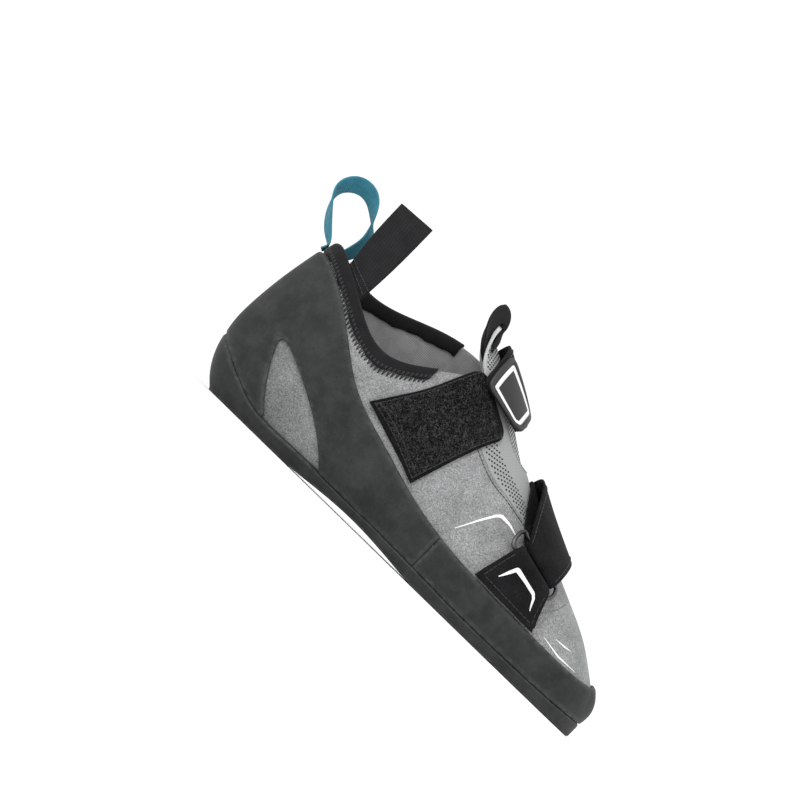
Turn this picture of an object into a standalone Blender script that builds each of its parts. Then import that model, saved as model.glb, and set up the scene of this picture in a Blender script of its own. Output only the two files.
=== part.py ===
"""A right climbing shoe, empty and standing on its sole, as separate closed pieces.

Every piece that lies on the foot is worked out from one last: a table of cross-sections round the
foot, joined by a smooth closed curve. Toe is +X, the outer side is -Y, the inner side is +Y, floor is Z = 0.
"""

import math
from collections import namedtuple

import bmesh
import bpy
import numpy as np
from mathutils import Vector

MM = 0.001

# Driving sizes in millimetres
LENGTH = 250.0
BALL_WIDTH = 90.0
COLLAR_HEIGHT = 92.0
WALL = 1.8
GAP = 0.3
SOLE = 3.9
RAND = 2.0
EDGE_STEP = 2.5
INSOLE = 2.5
TONGUE = 2.2
BINDING = 1.0
BINDING_DROP = 6.0
STRAP = 1.9
FOLDED = 1.4
BADGE = 1.6
RIBBON = 1.2
WEBBING = 2.4
WIRE = 1.0

# The sections are drafted for a last of this size and graded to the driving sizes
DRAFT_LENGTH = 250.0
DRAFT_BALL = 90.0
DRAFT_COLLAR = 92.0

# Arch under each side of the foot, between two flat runs of the sole
Arch = namedtuple("Arch", "start end rise")
ARCH_OUTER = Arch(60.0, 150.0, 3.0)
ARCH_INNER = Arch(46.0, 166.0, 11.5)

# Share of each half-girth that lies below the widest line, and how steeply it leaves the sole
LOW_SHARE = 0.2
FOOT_RISE = 0.35

Section = namedtuple(
    "Section",
    "foot_x foot_y wide_x wide_y wide_z top_x top_y top_z side crown edge_z seam_z rand_z footprint",
)

# Heel back, then the outer side to the toe tip
OUTER = [
    Section(15, 0, 0, 0, 38, 11, 0, 104, 0.40, 0.05, 92, 26, 84, 0.20),
    Section(20, -13, 8, -19, 36, 17, -15, 106, 0.40, 0.05, 90, 20, 82.5, 0.30),
    Section(37, -22, 34, -30.5, 33, 36.5, -24, 110, 0.40, 0.05, 78, 9.5, 70, 0.60),
    Section(64, -25.5, 63, -33.5, 30, 64, -18, 117, 0.42, 0.15, 68, 8.5, 49, 0.75),
    Section(92, -29, 92, -36.5, 28, 88, 0, 117, 0.44, 0.48, 85, 8.5, 38, 0.80),
    Section(116, -33, 116, -39.5, 26, 114, 0, 103, 0.40, 0.48, 93, 8.5, 30.5, 0.80),
    Section(140, -38, 140, -42.5, 23, 137, 0, 86.5, 0.44, 0.50, 80.5, 7.5, 25.5, 0.90),
    Section(164, -41.5, 164, -45, 20, 160, 0.5, 71, 0.48, 0.55, 77, 6.6, 23.2, 1.0),
    Section(188, -41.5, 188.5, -44.6, 18, 183, 1.5, 58.5, 0.52, 0.60, 72, 6.6, 22.5, 1.0),
    Section(213, -36, 214.5, -38.6, 16, 205, 2, 48, 0.52, 0.58, 66, 7.0, 22, 1.0),
    Section(235, -21, 237, -23.2, 15, 223, 3, 39, 0.50, 0.50, 60, 8.0, 23.2, 1.0),
    Section(246, 4, 249.6, 4, 14, 238, 4, 28.5, 0.45, 0.45, 56, 8.8, 25.4, 1.0),
]

# The inner side, heel corner to toe corner
INNER = [
    Section(20, 12.5, 8, 18.5, 36, 17, 15, 106, 0.40, 0.05, 91, 20, 82.5, 0.30),
    Section(37, 21, 34, 29.5, 34, 36.5, 24, 110, 0.40, 0.05, 88, 10.5, 70, 0.60),
    Section(64, 20.5, 63, 30, 34, 64, 18, 120, 0.42, 0.15, 96, 13, 50, 0.75),
    Section(92, 19.5, 92, 29.5, 37, 88, 0, 117, 0.44, 0.48, 102, 20, 43, 0.80),
    Section(117, 21.5, 117, 32, 35, 114, 0, 103, 0.40, 0.48, 97, 20.5, 38, 0.80),
    Section(142, 26.5, 142, 36, 30, 137, 0, 86.5, 0.44, 0.50, 82, 14.5, 32, 0.90),
    Section(168, 34.5, 168, 39.2, 23, 160, 0.5, 71, 0.48, 0.55, 77, 7.5, 26, 1.0),
    Section(192, 37, 192.5, 40.3, 19, 183, 1.5, 58.5, 0.52, 0.60, 72, 6.6, 24, 1.0),
    Section(216, 34.3, 217.5, 37.2, 17, 205, 2, 48, 0.52, 0.58, 66, 7.0, 23, 1.0),
    Section(236, 24.5, 238.5, 26.6, 15.5, 223, 3, 39, 0.50, 0.50, 60, 8.0, 23.6, 1.0),
]

TIP = len(OUTER) - 1
LOOP = OUTER + INNER[::-1]
TURN = len(LOOP)

# The station where the ridge starts, the one where the two rands meet, and the heel rand's windows,
# whose rear and front edges run from an x at the foot by a slope and a bend per millimetre of height
RIDGE_START = 4
RAND_JOIN = 6.0
WINDOW_REAR = (42.7, 0.92, -0.0088)
WINDOW_FRONT = (78.6, 0.84, 0.0232)
WINDOW_FOOT = 8.8
WINDOW_TOP = 41.0
WINDOW_SOFT = 1.2


def cubic(rows, closed):
    """The second derivatives of the cubic spline through rows that are one step apart."""
    rows = np.asarray(rows, float)
    count = len(rows)
    matrix = np.zeros((count, count))
    right = np.zeros_like(rows)
    for i in range(count):
        if not closed and i in (0, count - 1):
            matrix[i, i] = 1.0
            continue
        before, after = (i - 1) % count, (i + 1) % count
        matrix[i, before] += 1.0
        matrix[i, i] += 4.0
        matrix[i, after] += 1.0
        right[i] = 6.0 * (rows[before] - 2.0 * rows[i] + rows[after])
    return np.linalg.solve(matrix, right)


def along(rows, bend, place, closed):
    """The spline's values at the places, counted in rows."""
    rows = np.asarray(rows, float)
    count = len(rows)
    place = np.asarray(place, float)
    if closed:
        place = np.mod(place, count)
        low = np.floor(place).astype(int) % count
        high = (low + 1) % count
    else:
        place = np.clip(place, 0.0, count - 1)
        low = np.minimum(np.floor(place).astype(int), count - 2)
        high = low + 1
    t = (place - np.floor(place) if closed else place - low)[..., None]
    s = 1.0 - t
    bent = ((s**3 - s) * bend[low] + (t**3 - t) * bend[high]) / 6.0
    return s * rows[low] + t * rows[high] + bent


def curve_through(rows, count):
    """Evenly spread rows on the open spline through the given ones."""
    place = np.linspace(0.0, len(rows) - 1, count)
    return along(rows, cubic(rows, False), place, False)


def graded(section):
    along_x = LENGTH / DRAFT_LENGTH
    across = BALL_WIDTH / DRAFT_BALL
    up = COLLAR_HEIGHT / DRAFT_COLLAR
    scales = {"x": along_x, "y": across, "z": up}
    return [value * scales.get(name[-1], 1.0) if "_" in name else value
            for name, value in zip(Section._fields, section)]


def ridge_slope(rows):
    """Slope of the ridge at each row, as a gradient in plan, so that both sides meet it without a crease."""
    place = [Section._fields.index(name) for name in ("top_x", "top_y", "top_z")]
    slopes = np.zeros((len(rows), 2))
    for i in range(RIDGE_START, TURN - RIDGE_START + 1):
        step = rows[min(i + 1, TIP), place] - rows[i - 1, place]
        if i > TIP:
            step = rows[max(i - 1, TIP), place] - rows[i + 1, place]
        slopes[i] = step[2] * step[:2] / np.dot(step[:2], step[:2])
    return slopes


ROWS = np.array([graded(section) for section in LOOP])
ROWS = np.hstack([ROWS, ridge_slope(ROWS)])
BEND = cubic(ROWS, True)


def column(place, name):
    """One column of the section table at places round the loop."""
    return along(ROWS, BEND, place, True)[..., Section._fields.index(name)]


def arch(x, inner_share):
    """Height of the sole's underside above the floor."""
    rises = []
    for side in (ARCH_OUTER, ARCH_INNER):
        t = np.clip((np.asarray(x, float) - side.start) / (side.end - side.start), 0.0, 1.0)
        rises.append(side.rise * np.sin(math.pi * t) ** 1.5)
    return rises[0] + (rises[1] - rises[0]) * inner_share


def short_of_ridge(place, top_y):
    """The top of one side, kept from crossing the middle line that it shares with the other side."""
    middle = 0.5 * (top_y + column(TURN - place, "top_y"))
    side = np.where(place > TIP, 1.0, -1.0)
    reach = side * (top_y - middle)
    station = np.minimum(place, TURN - place)
    soft = np.clip(np.minimum(station, TIP - station), 0.0, 1.0)
    return middle + side * 0.5 * (reach + np.sqrt(reach**2 + soft**2))


def on_last(place, q):
    """Points of the last: place runs round the loop, q from the foot line (0) up to the ridge (1)."""
    place = np.mod(np.asarray(place, float), TURN)
    q = np.asarray(q, float)
    row = along(ROWS, BEND, place, True)
    part = {name: row[..., i] for i, name in enumerate(Section._fields)}
    part["top_y"] = short_of_ridge(place, part["top_y"])
    foot_z = arch(part["foot_x"], np.where(place > TIP, 1.0, 0.0)) + SOLE + GAP
    a = np.clip(q / LOW_SHARE, 0.0, 1.0)
    low_out = 1.0 - (1.0 - a) ** 2
    low_up = 2.0 * a * (1.0 - a) * FOOT_RISE + a**2
    r = np.clip((q - LOW_SHARE) / (1.0 - LOW_SHARE), 0.0, 1.0)
    first, second, third = 3.0 * (1.0 - r) ** 2 * r, 3.0 * (1.0 - r) * r**2, r**3
    out_x, out_y = part["wide_x"] - part["top_x"], part["wide_y"] - part["top_y"]
    rise = part["top_z"] - part["wide_z"]
    fall = -part["crown"] * (row[..., -2] * out_x + row[..., -1] * out_y) / rise
    up = first * part["side"] + second * (1.0 - fall) + third
    lean = second * (1.0 - part["crown"]) + third
    low = q < LOW_SHARE
    x = np.where(low, part["foot_x"] + (part["wide_x"] - part["foot_x"]) * low_out,
                 part["wide_x"] + (part["top_x"] - part["wide_x"]) * lean)
    y = np.where(low, part["foot_y"] + (part["wide_y"] - part["foot_y"]) * low_out,
                 part["wide_y"] + (part["top_y"] - part["wide_y"]) * lean)
    z = np.where(low, foot_z + (part["wide_z"] - foot_z) * low_up,
                 part["wide_z"] + (part["top_z"] - part["wide_z"]) * up)
    return np.stack([x, y, z], -1)


def outward(place, q):
    """Unit normals of the last."""
    step = 0.02
    q_low, q_high = np.maximum(q - step, 0.0), np.minimum(q + step, 1.0)
    round_loop = on_last(place + step, q) - on_last(place - step, q)
    up_side = on_last(place, q_high) - on_last(place, q_low)
    normal = np.cross(round_loop, up_side)
    return normal / np.maximum(np.linalg.norm(normal, axis=-1, keepdims=True), 1e-12)


def loop_place(station, girth):
    return np.where(np.asarray(girth) > 0.0, TURN - np.asarray(station, float), station)


def skin(station, girth, off=0.0):
    """Points off the last: station 0 heel to TIP toe, girth -1 outer foot line, 0 ridge, 1 inner foot line."""
    station, girth, off = np.broadcast_arrays(
        np.asarray(station, float), np.asarray(girth, float), np.asarray(off, float))
    place = loop_place(station, girth)
    q = 1.0 - np.abs(girth)
    point = on_last(place, q)
    near = np.minimum(q, 0.985)
    normal = outward(place, near)
    other = outward(TURN - place, near)
    both = normal + other
    both = both / np.maximum(np.linalg.norm(both, axis=-1, keepdims=True), 1e-12)
    on_ridge = (np.abs(girth) < 1e-9)[..., None]
    point = np.where(on_ridge, 0.5 * (point + on_last(TURN - place, q)), point)
    normal = np.where(on_ridge, both, normal)
    return point + normal * off[..., None]


def q_at_height(place, z):
    """Share of the half-girth at which the last reaches a height."""
    place, z = np.broadcast_arrays(np.asarray(place, float), np.asarray(z, float))
    low, high = np.zeros_like(z, dtype=float), np.ones_like(z, dtype=float)
    for _ in range(40):
        middle = 0.5 * (low + high)
        under = on_last(place, middle)[..., 2] < z
        low = np.where(under, middle, low)
        high = np.where(under, high, middle)
    return 0.5 * (low + high)


def station_at(x, girth):
    """Station at which the last reaches an x, at a given girth."""
    x, girth = np.broadcast_arrays(np.asarray(x, float), np.asarray(girth, float))
    low, high = np.full(x.shape, 1.0), np.full(x.shape, float(TIP))
    for _ in range(40):
        middle = 0.5 * (low + high)
        behind = on_last(loop_place(middle, girth), 1.0 - np.abs(girth))[..., 0] < x
        low = np.where(behind, middle, low)
        high = np.where(behind, high, middle)
    return 0.5 * (low + high)


def locate(side, x, z):
    """Station and girth of the point of one side (-1 outer, 1 inner) at x, z. A z above the ridge is the ridge."""
    girth = side * 0.5
    for _ in range(8):
        station = station_at(x, girth)
        girth = side * max(1e-6, 1.0 - float(q_at_height(loop_place(station, side), z)))
    return float(station), 0.0 if abs(girth) < 1e-4 else float(girth)


for old in list(bpy.data.objects):
    bpy.data.objects.remove(old, do_unlink=True)

SHOE = bpy.data.objects.new("climbing_shoe", None)
bpy.context.scene.collection.objects.link(SHOE)

Finish = namedtuple("Finish", "colour roughness metallic")
FINISHES = {
    "rubber": Finish((0.035, 0.04, 0.038), 0.75, 0.0),
    "suede": Finish((0.36, 0.37, 0.37), 0.9, 0.0),
    "knit": Finish((0.5, 0.51, 0.51), 0.85, 0.0),
    "black_cloth": Finish((0.012, 0.012, 0.013), 0.85, 0.0),
    "teal_ribbon": Finish((0.05, 0.33, 0.36), 0.7, 0.0),
    "moulded": Finish((0.03, 0.03, 0.032), 0.5, 0.0),
    "steel": Finish((0.12, 0.12, 0.12), 0.35, 1.0),
    "board": Finish((0.3, 0.29, 0.27), 0.9, 0.0),
}


def material(name):
    found = bpy.data.materials.get(name)
    if found:
        return found
    made = bpy.data.materials.new(name)
    made.use_nodes = True
    shader = made.node_tree.nodes["Principled BSDF"]
    finish = FINISHES[name]
    shader.inputs["Base Color"].default_value = (*finish.colour, 1.0)
    shader.inputs["Roughness"].default_value = finish.roughness
    shader.inputs["Metallic"].default_value = finish.metallic
    return made


def add_piece(name, points, faces, finish):
    mesh = bpy.data.meshes.new(name)
    mesh.from_pydata([tuple(float(v) * MM for v in point) for point in points], [], faces)
    build = bmesh.new()
    build.from_mesh(mesh)
    bmesh.ops.remove_doubles(build, verts=build.verts, dist=2e-6)
    bmesh.ops.dissolve_degenerate(build, edges=build.edges, dist=1e-6)
    bmesh.ops.triangulate(build, faces=build.faces)
    bmesh.ops.recalc_face_normals(build, faces=build.faces)
    build.to_mesh(mesh)
    build.free()
    mesh.materials.append(material(finish))
    piece = bpy.data.objects.new(name, mesh)
    bpy.context.scene.collection.objects.link(piece)
    piece.parent = SHOE
    return piece


def add_shell(name, stations, girths, outside, inner, outer, finish):
    """A closed wall on the last between two offsets, wherever outside(station, girth) is below zero."""
    stations, girths = np.asarray(stations, float), np.asarray(girths, float)
    last = len(girths) - 1
    grid_s, grid_g = np.meshgrid(stations, girths, indexing="ij")
    value = outside(grid_s, grid_g)
    corners, crossings, spots = {}, {}, []

    def folded(i, j):
        """Both sides share the vertices of the heel line and of the toe line."""
        return (i, min(j, last - j)) if stations[i] in (0.0, float(TIP)) else (i, j)

    def corner(i, j):
        key = folded(i, j)
        if key not in corners:
            corners[key] = len(spots)
            spots.append((stations[key[0]], girths[key[1]]))
        return corners[key]

    def crossing(one, two):
        key = frozenset((folded(*one), folded(*two)))
        if key not in crossings:
            first = np.array([stations[one[0]], girths[one[1]]])
            second = np.array([stations[two[0]], girths[two[1]]])
            if value[one] > 0.0:
                first, second = second, first
            low, high = 0.0, 1.0
            for _ in range(16):
                middle = 0.5 * (low + high)
                spot = first + (second - first) * middle
                inside = outside(spot[0:1], spot[1:2])[0] < 0.0
                low, high = (middle, high) if inside else (low, middle)
            share = min(max(0.5 * (low + high), 0.02), 0.98)
            crossings[key] = len(spots)
            spots.append(tuple(first + (second - first) * share))
        return crossings[key]

    loops = []
    for i in range(len(stations) - 1):
        for j in range(last):
            ring = [(i, j), (i + 1, j), (i + 1, j + 1), (i, j + 1)]
            loop = []
            for one, two in zip(ring, ring[1:] + ring[:1]):
                if value[one] < 0.0:
                    loop.append(corner(*one))
                if (value[one] < 0.0) != (value[two] < 0.0):
                    loop.append(crossing(one, two))
            loop = [spot for k, spot in enumerate(loop) if spot != loop[k - 1]]
            if len(loop) > 2:
                loops.append(loop)
    spots = np.array(spots)
    outer_points = skin(spots[:, 0], spots[:, 1], outer)
    inner_points = skin(spots[:, 0], spots[:, 1], inner)
    count = len(spots)
    edges = {}
    for loop in loops:
        for one, two in zip(loop, loop[1:] + loop[:1]):
            edges[(one, two)] = edges.get((one, two), 0) + 1
    faces = [list(loop) for loop in loops]
    faces += [[spot + count for spot in reversed(loop)] for loop in loops]
    faces += [[two, one, one + count, two + count] for one, two in edges if (two, one) not in edges]
    return add_piece(name, np.concatenate([outer_points, inner_points]), faces, finish)


def add_loft(name, sections, finish, closed=False):
    """A closed solid through rings of points that have the same count."""
    sections = np.asarray(sections, float)
    rings, count = sections.shape[:2]
    faces = []
    for i in range(rings if closed else rings - 1):
        after = (i + 1) % rings
        for j in range(count):
            k = (j + 1) % count
            faces.append([i * count + j, i * count + k, after * count + k, after * count + j])
    if not closed:
        faces.append(list(range(count)))
        faces.append([(rings - 1) * count + j for j in reversed(range(count))])
    return add_piece(name, sections.reshape(-1, 3), faces, finish)


def flat_ring(outer_edge, inner_edge):
    """One ring of a strap: across its outer face and back across its inner face."""
    return np.concatenate([outer_edge, inner_edge[::-1]])


SIDE_Q = np.array([0.0, 0.06, 0.13, 0.2, 0.29, 0.38, 0.48, 0.58, 0.68, 0.77, 0.86, 0.94, 1.0])
GIRTHS = np.concatenate([-(1.0 - SIDE_Q), (1.0 - SIDE_Q[:-1])[::-1]])
STATIONS = np.concatenate([
    np.linspace(0.0, 4.0, 19)[:-1], np.linspace(4.0, 9.0, 12)[:-1], np.linspace(9.0, TIP, 8)])


def height(station, girth):
    return skin(station, girth)[..., 2]


# Upper: the whole last but for the collar, the throat and the underside
def past_the_edge(station, girth):
    return height(station, girth) - column(loop_place(station, girth), "edge_z")


add_shell("upper", STATIONS, GIRTHS, past_the_edge, -WALL, 0.0, "suede")


# Rands: bands between the sole's edge and the rand's top line, split at the join
def outside_band(station, girth):
    place = loop_place(station, girth)
    z = height(station, girth)
    below = column(place, "seam_z") + GAP - z
    above = z - column(place, "rand_z")
    return np.maximum(below, above)


def inside_window(station, girth):
    """Above zero inside the heel rand's window."""
    point = skin(station, girth)
    x, rise = point[..., 0], point[..., 2] - WINDOW_FOOT
    rear, front = (edge[0] - edge[1] * rise - edge[2] * rise**2 for edge in (WINDOW_REAR, WINDOW_FRONT))
    sides = (x - rear, front - x, WINDOW_TOP - point[..., 2])
    return -WINDOW_SOFT * np.log(sum(np.exp(-side / WINDOW_SOFT) for side in sides))


def outside_heel_rand(station, girth):
    return np.maximum(outside_band(station, girth), inside_window(station, girth))


BAND_Q = np.array([0.0, 0.06, 0.12, 0.16, 0.2, 0.23, 0.27, 0.32, 0.39, 0.47, 0.56, 0.66, 0.78, 0.94])
BAND_GIRTHS = np.concatenate([-(1.0 - BAND_Q), (1.0 - BAND_Q)[::-1]])
TOE_Q = np.array([0.0, 0.07, 0.13, 0.2, 0.3, 0.42, 0.56, 0.72, 0.94])
TOE_GIRTHS = np.concatenate([-(1.0 - TOE_Q), (1.0 - TOE_Q)[::-1]])
HEEL_STATIONS = np.concatenate([np.linspace(0.0, 4.0, 21)[:-1], np.linspace(4.0, RAND_JOIN - 0.006, 6)])
TOE_STATIONS = np.concatenate([np.linspace(RAND_JOIN + 0.006, 9.0, 10)[:-1], np.linspace(9.0, TIP, 8)])
add_shell("heel_rand", HEEL_STATIONS, BAND_GIRTHS, outside_heel_rand, GAP, GAP + RAND, "rubber")
add_shell("toe_rand", TOE_STATIONS, TOE_GIRTHS, outside_band, GAP, GAP + RAND, "rubber")


# Outsole: one ring across the foot at each station
def sole_side(station, girth_side):
    """The sole's wall on one side, from its inner top edge round to the underside."""
    place = float(loop_place(station, girth_side))
    q_seam = float(q_at_height(place, column(place, "seam_z")))
    drop = np.linspace(0.0, 1.0, 4)[:, None]
    lining = skin(station, girth_side * (1.0 - q_seam * (1.0 - drop[:, 0])), 1.5 * GAP)
    top = skin(station, girth_side * (1.0 - q_seam), EDGE_STEP)
    foot = skin(station, girth_side * 1.0)
    under = arch(foot[0], 1.0 if girth_side > 0 else 0.0)
    print_edge = foot + (top - foot) * float(column(place, "footprint"))
    print_edge[2] = under + 1.1
    bulge = top + (print_edge - top) * 0.18
    bulge[2] = under + (top[2] - under) * 0.42
    wall = (1 - drop) ** 2 * top + 2 * drop * (1 - drop) * bulge + drop**2 * print_edge
    tread = print_edge + (foot - print_edge) * 0.25
    inward = np.array([0.0, girth_side, 0.0]) if 0.5 < station < TIP - 0.5 else np.zeros(3)
    tread = tread - 0.6 * inward
    tread[2] = under
    return lining, wall, tread


def sole_ring(station):
    outer_lining, outer_wall, outer_tread = sole_side(station, -1.0)
    inner_lining, inner_wall, inner_tread = sole_side(station, 1.0)
    share = np.linspace(0.0, 1.0, 4)[:, None]
    under = outer_tread + (inner_tread - outer_tread) * share
    under[:, 2] = arch(under[:, 0], share[:, 0])
    bed = inner_lining[-1] + (outer_lining[-1] - inner_lining[-1]) * share[1:-1]
    return np.concatenate([outer_wall, under, inner_wall[::-1], inner_lining, bed, outer_lining[::-1]])


add_loft("outsole", [sole_ring(station) for station in STATIONS], "rubber")


# Insole: a thin board just above the sole and clear of the wall
def insole_ring(station):
    outer_edge, inner_edge = skin(station, -1.0, -3.3), skin(station, 1.0, -3.3)
    share = np.linspace(0.0, 1.0, 5)[:, None]
    face = outer_edge + (inner_edge - outer_edge) * share
    outer_bed, inner_bed = skin(station, -1.0), skin(station, 1.0)
    width = max(inner_bed[1] - outer_bed[1], 1.0)
    low, high = face.copy(), face.copy()
    low[:, 2] = outer_bed[2] + (inner_bed[2] - outer_bed[2]) * (face[:, 1] - outer_bed[1]) / width + 0.5 * GAP
    high[:, 2] = low[:, 2] + INSOLE
    return flat_ring(high, low)


INSOLE_STATIONS = np.concatenate([np.linspace(0.0, 2.0, 6)[:-1], np.linspace(2.0, TIP, 17)])
add_loft("insole", [insole_ring(station) for station in INSOLE_STATIONS], "board")

# Tongue: under the throat, from past the end of the slot up to a top edge that curls up off the last
TongueRow = namedtuple("TongueRow", "station reach")
TONGUE_ROWS = [TongueRow(3.78, 0.20), TongueRow(4.0, 0.22), TongueRow(4.2, 0.24), TongueRow(4.5, 0.26),
               TongueRow(5.0, 0.27), TongueRow(5.6, 0.25), TongueRow(6.2, 0.23), TongueRow(6.9, 0.18)]
TONGUE_OFF = -WALL - 2.0 * GAP
# Where the curl starts, its run and its turn for each station past that, and the turn round its own length
CURL_FROM = 4.4
CURL_MM = 25.0
CURL_TURN = math.radians(90.0)
TOP_TURN = math.radians(16.0)


def spread_from_ridge(count):
    """Places from -1 to 1 that lie closer together near the ridge, where the last turns most."""
    share = np.linspace(-1.0, 1.0, count)
    share[count // 2] = 0.0
    return np.sign(share) * np.abs(share) ** 1.4


def curl_axes():
    """The way back along the ridge where the curl starts, and the way up from it."""
    back = skin(CURL_FROM, 0.0) - skin(CURL_FROM + 0.1, 0.0)
    back /= np.linalg.norm(back)
    return back, np.array([back[2], 0.0, -back[0]])


def tongue_curl(station, girth, off):
    """Points off the tongue: on the last, and past the curl's start on an arc that leaves the ridge upwards."""
    station, girth, off = np.broadcast_arrays(
        np.asarray(station, float), np.asarray(girth, float), np.asarray(off, float))
    held = np.maximum(station, CURL_FROM)
    root = skin(held, girth)
    normal = skin(held, girth, 1.0) - root
    back, rise = curl_axes()
    turn = (CURL_TURN * (held - station))[..., None]
    radius = CURL_MM / CURL_TURN
    along_back, along_rise = (normal @ back)[..., None], (normal @ rise)[..., None]
    across = normal - along_back * back - along_rise * rise
    turned = (across + along_rise * (rise * np.cos(turn) - back * np.sin(turn))
              + along_back * (back * np.cos(turn) + rise * np.sin(turn)))
    return root + radius * (np.sin(turn) * back + (1.0 - np.cos(turn)) * rise) + turned * off[..., None]


def tongue_skin(station, girth, off):
    """Points off the curled tongue, whose top also turns round its own length, inner side to the rear."""
    station, girth, off = np.broadcast_arrays(
        np.asarray(station, float), np.asarray(girth, float), np.asarray(off, float))
    back, rise = curl_axes()
    past = np.maximum(CURL_FROM - station, 0.0)
    length = back * np.cos(CURL_TURN * past)[..., None] + rise * np.sin(CURL_TURN * past)[..., None]
    middle = tongue_curl(station, np.zeros_like(station), np.full_like(station, TONGUE_OFF))
    arm = tongue_curl(station, girth, off) - middle
    turn = (TOP_TURN * past / (CURL_FROM - TONGUE_ROWS[0].station))[..., None]
    held = length * np.sum(length * arm, axis=-1, keepdims=True)
    return middle + held + (arm - held) * np.cos(turn) + np.cross(length, arm) * np.sin(turn)


def tongue_ring(row):
    station, reach = row
    across = reach * spread_from_ridge(11)
    return flat_ring(tongue_skin(station, across, TONGUE_OFF), tongue_skin(station, across, TONGUE_OFF - TONGUE))


add_loft("tongue", [tongue_ring(row) for row in curve_through(TONGUE_ROWS, 13)], "knit")


# Collar binding: a folded strip over the collar's edge, from throat corner round the heel to throat corner
def binding_ring(place):
    q_edge = float(q_at_height(place, column(place, "edge_z")))
    per_mm = 0.02 / np.linalg.norm(on_last(place, q_edge + 0.01) - on_last(place, q_edge - 0.01))
    fold = [(BINDING_DROP, GAP), (BINDING_DROP, GAP + BINDING), (0.0, GAP + BINDING),
            (-1.2, GAP), (-0.6 - BINDING, -0.5 * WALL), (-1.2, -WALL - GAP),
            (0.0, -WALL - GAP - BINDING), (BINDING_DROP, -WALL - GAP - BINDING), (BINDING_DROP, -WALL - GAP),
            (-0.6, -WALL - GAP), (-0.6, GAP)]
    q = np.array([q_edge - drop * per_mm for drop, _ in fold])
    off = np.array([off for _, off in fold])
    spot = np.full(len(q), float(place))
    return on_last(spot, q) + outward(spot, q) * off[:, None]


BINDING_STATIONS = STATIONS[1:18]
BINDING_PLACES = np.concatenate([-BINDING_STATIONS[::-1], [0.0], BINDING_STATIONS])
add_loft("collar_binding", [binding_ring(place) for place in BINDING_PLACES], "black_cloth")

# Straps that lie on the last: a row gives both edges at one place along the strap
StrapRow = namedtuple("StrapRow", "side rear_x rear_z front_x front_z off")


def strap_edges(rows):
    """Station and girth of both edges, and the offset, for each row."""
    table = []
    for row in rows:
        rear_station, rear_girth = locate(row.side, row.rear_x, row.rear_z)
        front_station, front_girth = locate(row.side, row.front_x, row.front_z)
        table.append((rear_station, rear_girth, front_station, front_girth, row.off))
    return np.array(table)


def add_strap(name, rows, count, columns, thick, finish):
    rings = []
    share = np.linspace(0.0, 1.0, columns)
    for rear_s, rear_g, front_s, front_g, off in curve_through(strap_edges(rows), count):
        stations = rear_s + (front_s - rear_s) * share
        girths = rear_g + (front_g - rear_g) * share
        rings.append(flat_ring(skin(stations, girths, off + thick), skin(stations, girths, off)))
    return add_loft(name, rings, finish)


RIDGE = 999.0
PANEL_OFF = GAP
OVER_PANEL = PANEL_OFF + STRAP + GAP
add_strap("instep_loop_panel", [
    StrapRow(-1, 73.0, 47.5, 113.0, 33.5, PANEL_OFF),
    StrapRow(-1, 82.0, 61.0, 118.0, 49.0, PANEL_OFF),
    StrapRow(-1, 90.5, 76.0, 123.5, 65.0, PANEL_OFF),
    StrapRow(-1, 100.0, 97.0, 130.5, 79.5, PANEL_OFF),
], 11, 7, STRAP, "black_cloth")
INSTEP_ROWS = [
    StrapRow(1, 84.0, 45.0, 122.0, 39.5, GAP),
    StrapRow(1, 88.0, 62.0, 125.0, 55.0, GAP),
    StrapRow(1, 93.0, 84.0, 128.5, 73.0, GAP + 0.4),
    StrapRow(1, 98.5, RIDGE, 131.0, RIDGE, OVER_PANEL),
    StrapRow(-1, 103.0, 91.0, 130.5, 84.0, OVER_PANEL),
]
add_strap("instep_strap", INSTEP_ROWS, 17, 7, STRAP, "black_cloth")
BADGE_OFF = OVER_PANEL + STRAP + 2.0 * GAP
add_strap("instep_strap_badge", [
    StrapRow(-1, 102.0, 108.5, 129.0, 92.5, BADGE_OFF),
    StrapRow(-1, 103.2, 98.0, 131.0, 87.0, BADGE_OFF),
    StrapRow(-1, 105.5, 88.0, 132.0, 82.0, BADGE_OFF),
], 6, 7, BADGE, "moulded")

# Forefoot strap: straps that fold follow a path of girth and offset between two lines of x
PathRow = namedtuple("PathRow", "girth off")
GIRTH_MM = 78.0


def add_folded(name, rows, count, rear, front, columns, thick, finish, fitted=None):
    """A strap along a path; fitted may move its girths, given the x of each."""
    path = curve_through(rows, count)
    flat = np.stack([path[:, 0] * GIRTH_MM, path[:, 1]], -1)
    run = np.gradient(flat, axis=0)
    run /= np.linalg.norm(run, axis=1, keepdims=True)
    side = np.stack([-run[:, 1], run[:, 0]], -1) * 0.5 * thick
    rings = []
    for spot, turn in zip(flat, side):
        faces = []
        for sign in (1.0, -1.0):
            girth = np.full(columns, (spot[0] + sign * turn[0]) / GIRTH_MM)
            x = np.linspace(rear(girth[0]), front(girth[0]), columns)
            if fitted:
                girth = fitted(girth, x)
            faces.append(skin(station_at(x, girth), girth, spot[1] + sign * turn[1]))
        rings.append(flat_ring(*faces))
    return add_loft(name, rings, finish)


def forefoot_rear(girth):
    return 153.0 + 83.0 * min(girth, 0.0) ** 2


def forefoot_front(girth):
    return 189.5 - 4.6 * girth


def base_rear(girth):
    return 168.5 + 22.7 * (girth + 0.5)


def base_front(girth):
    return 191.0 - 33.6 * (girth + 0.5)


# The base's low end follows the rand's top edge, at a small clearance; its fold at the ring stays
BASE_LOW = -0.76
BASE_HIGH = -0.5
BASE_CLEAR = 0.9


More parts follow.
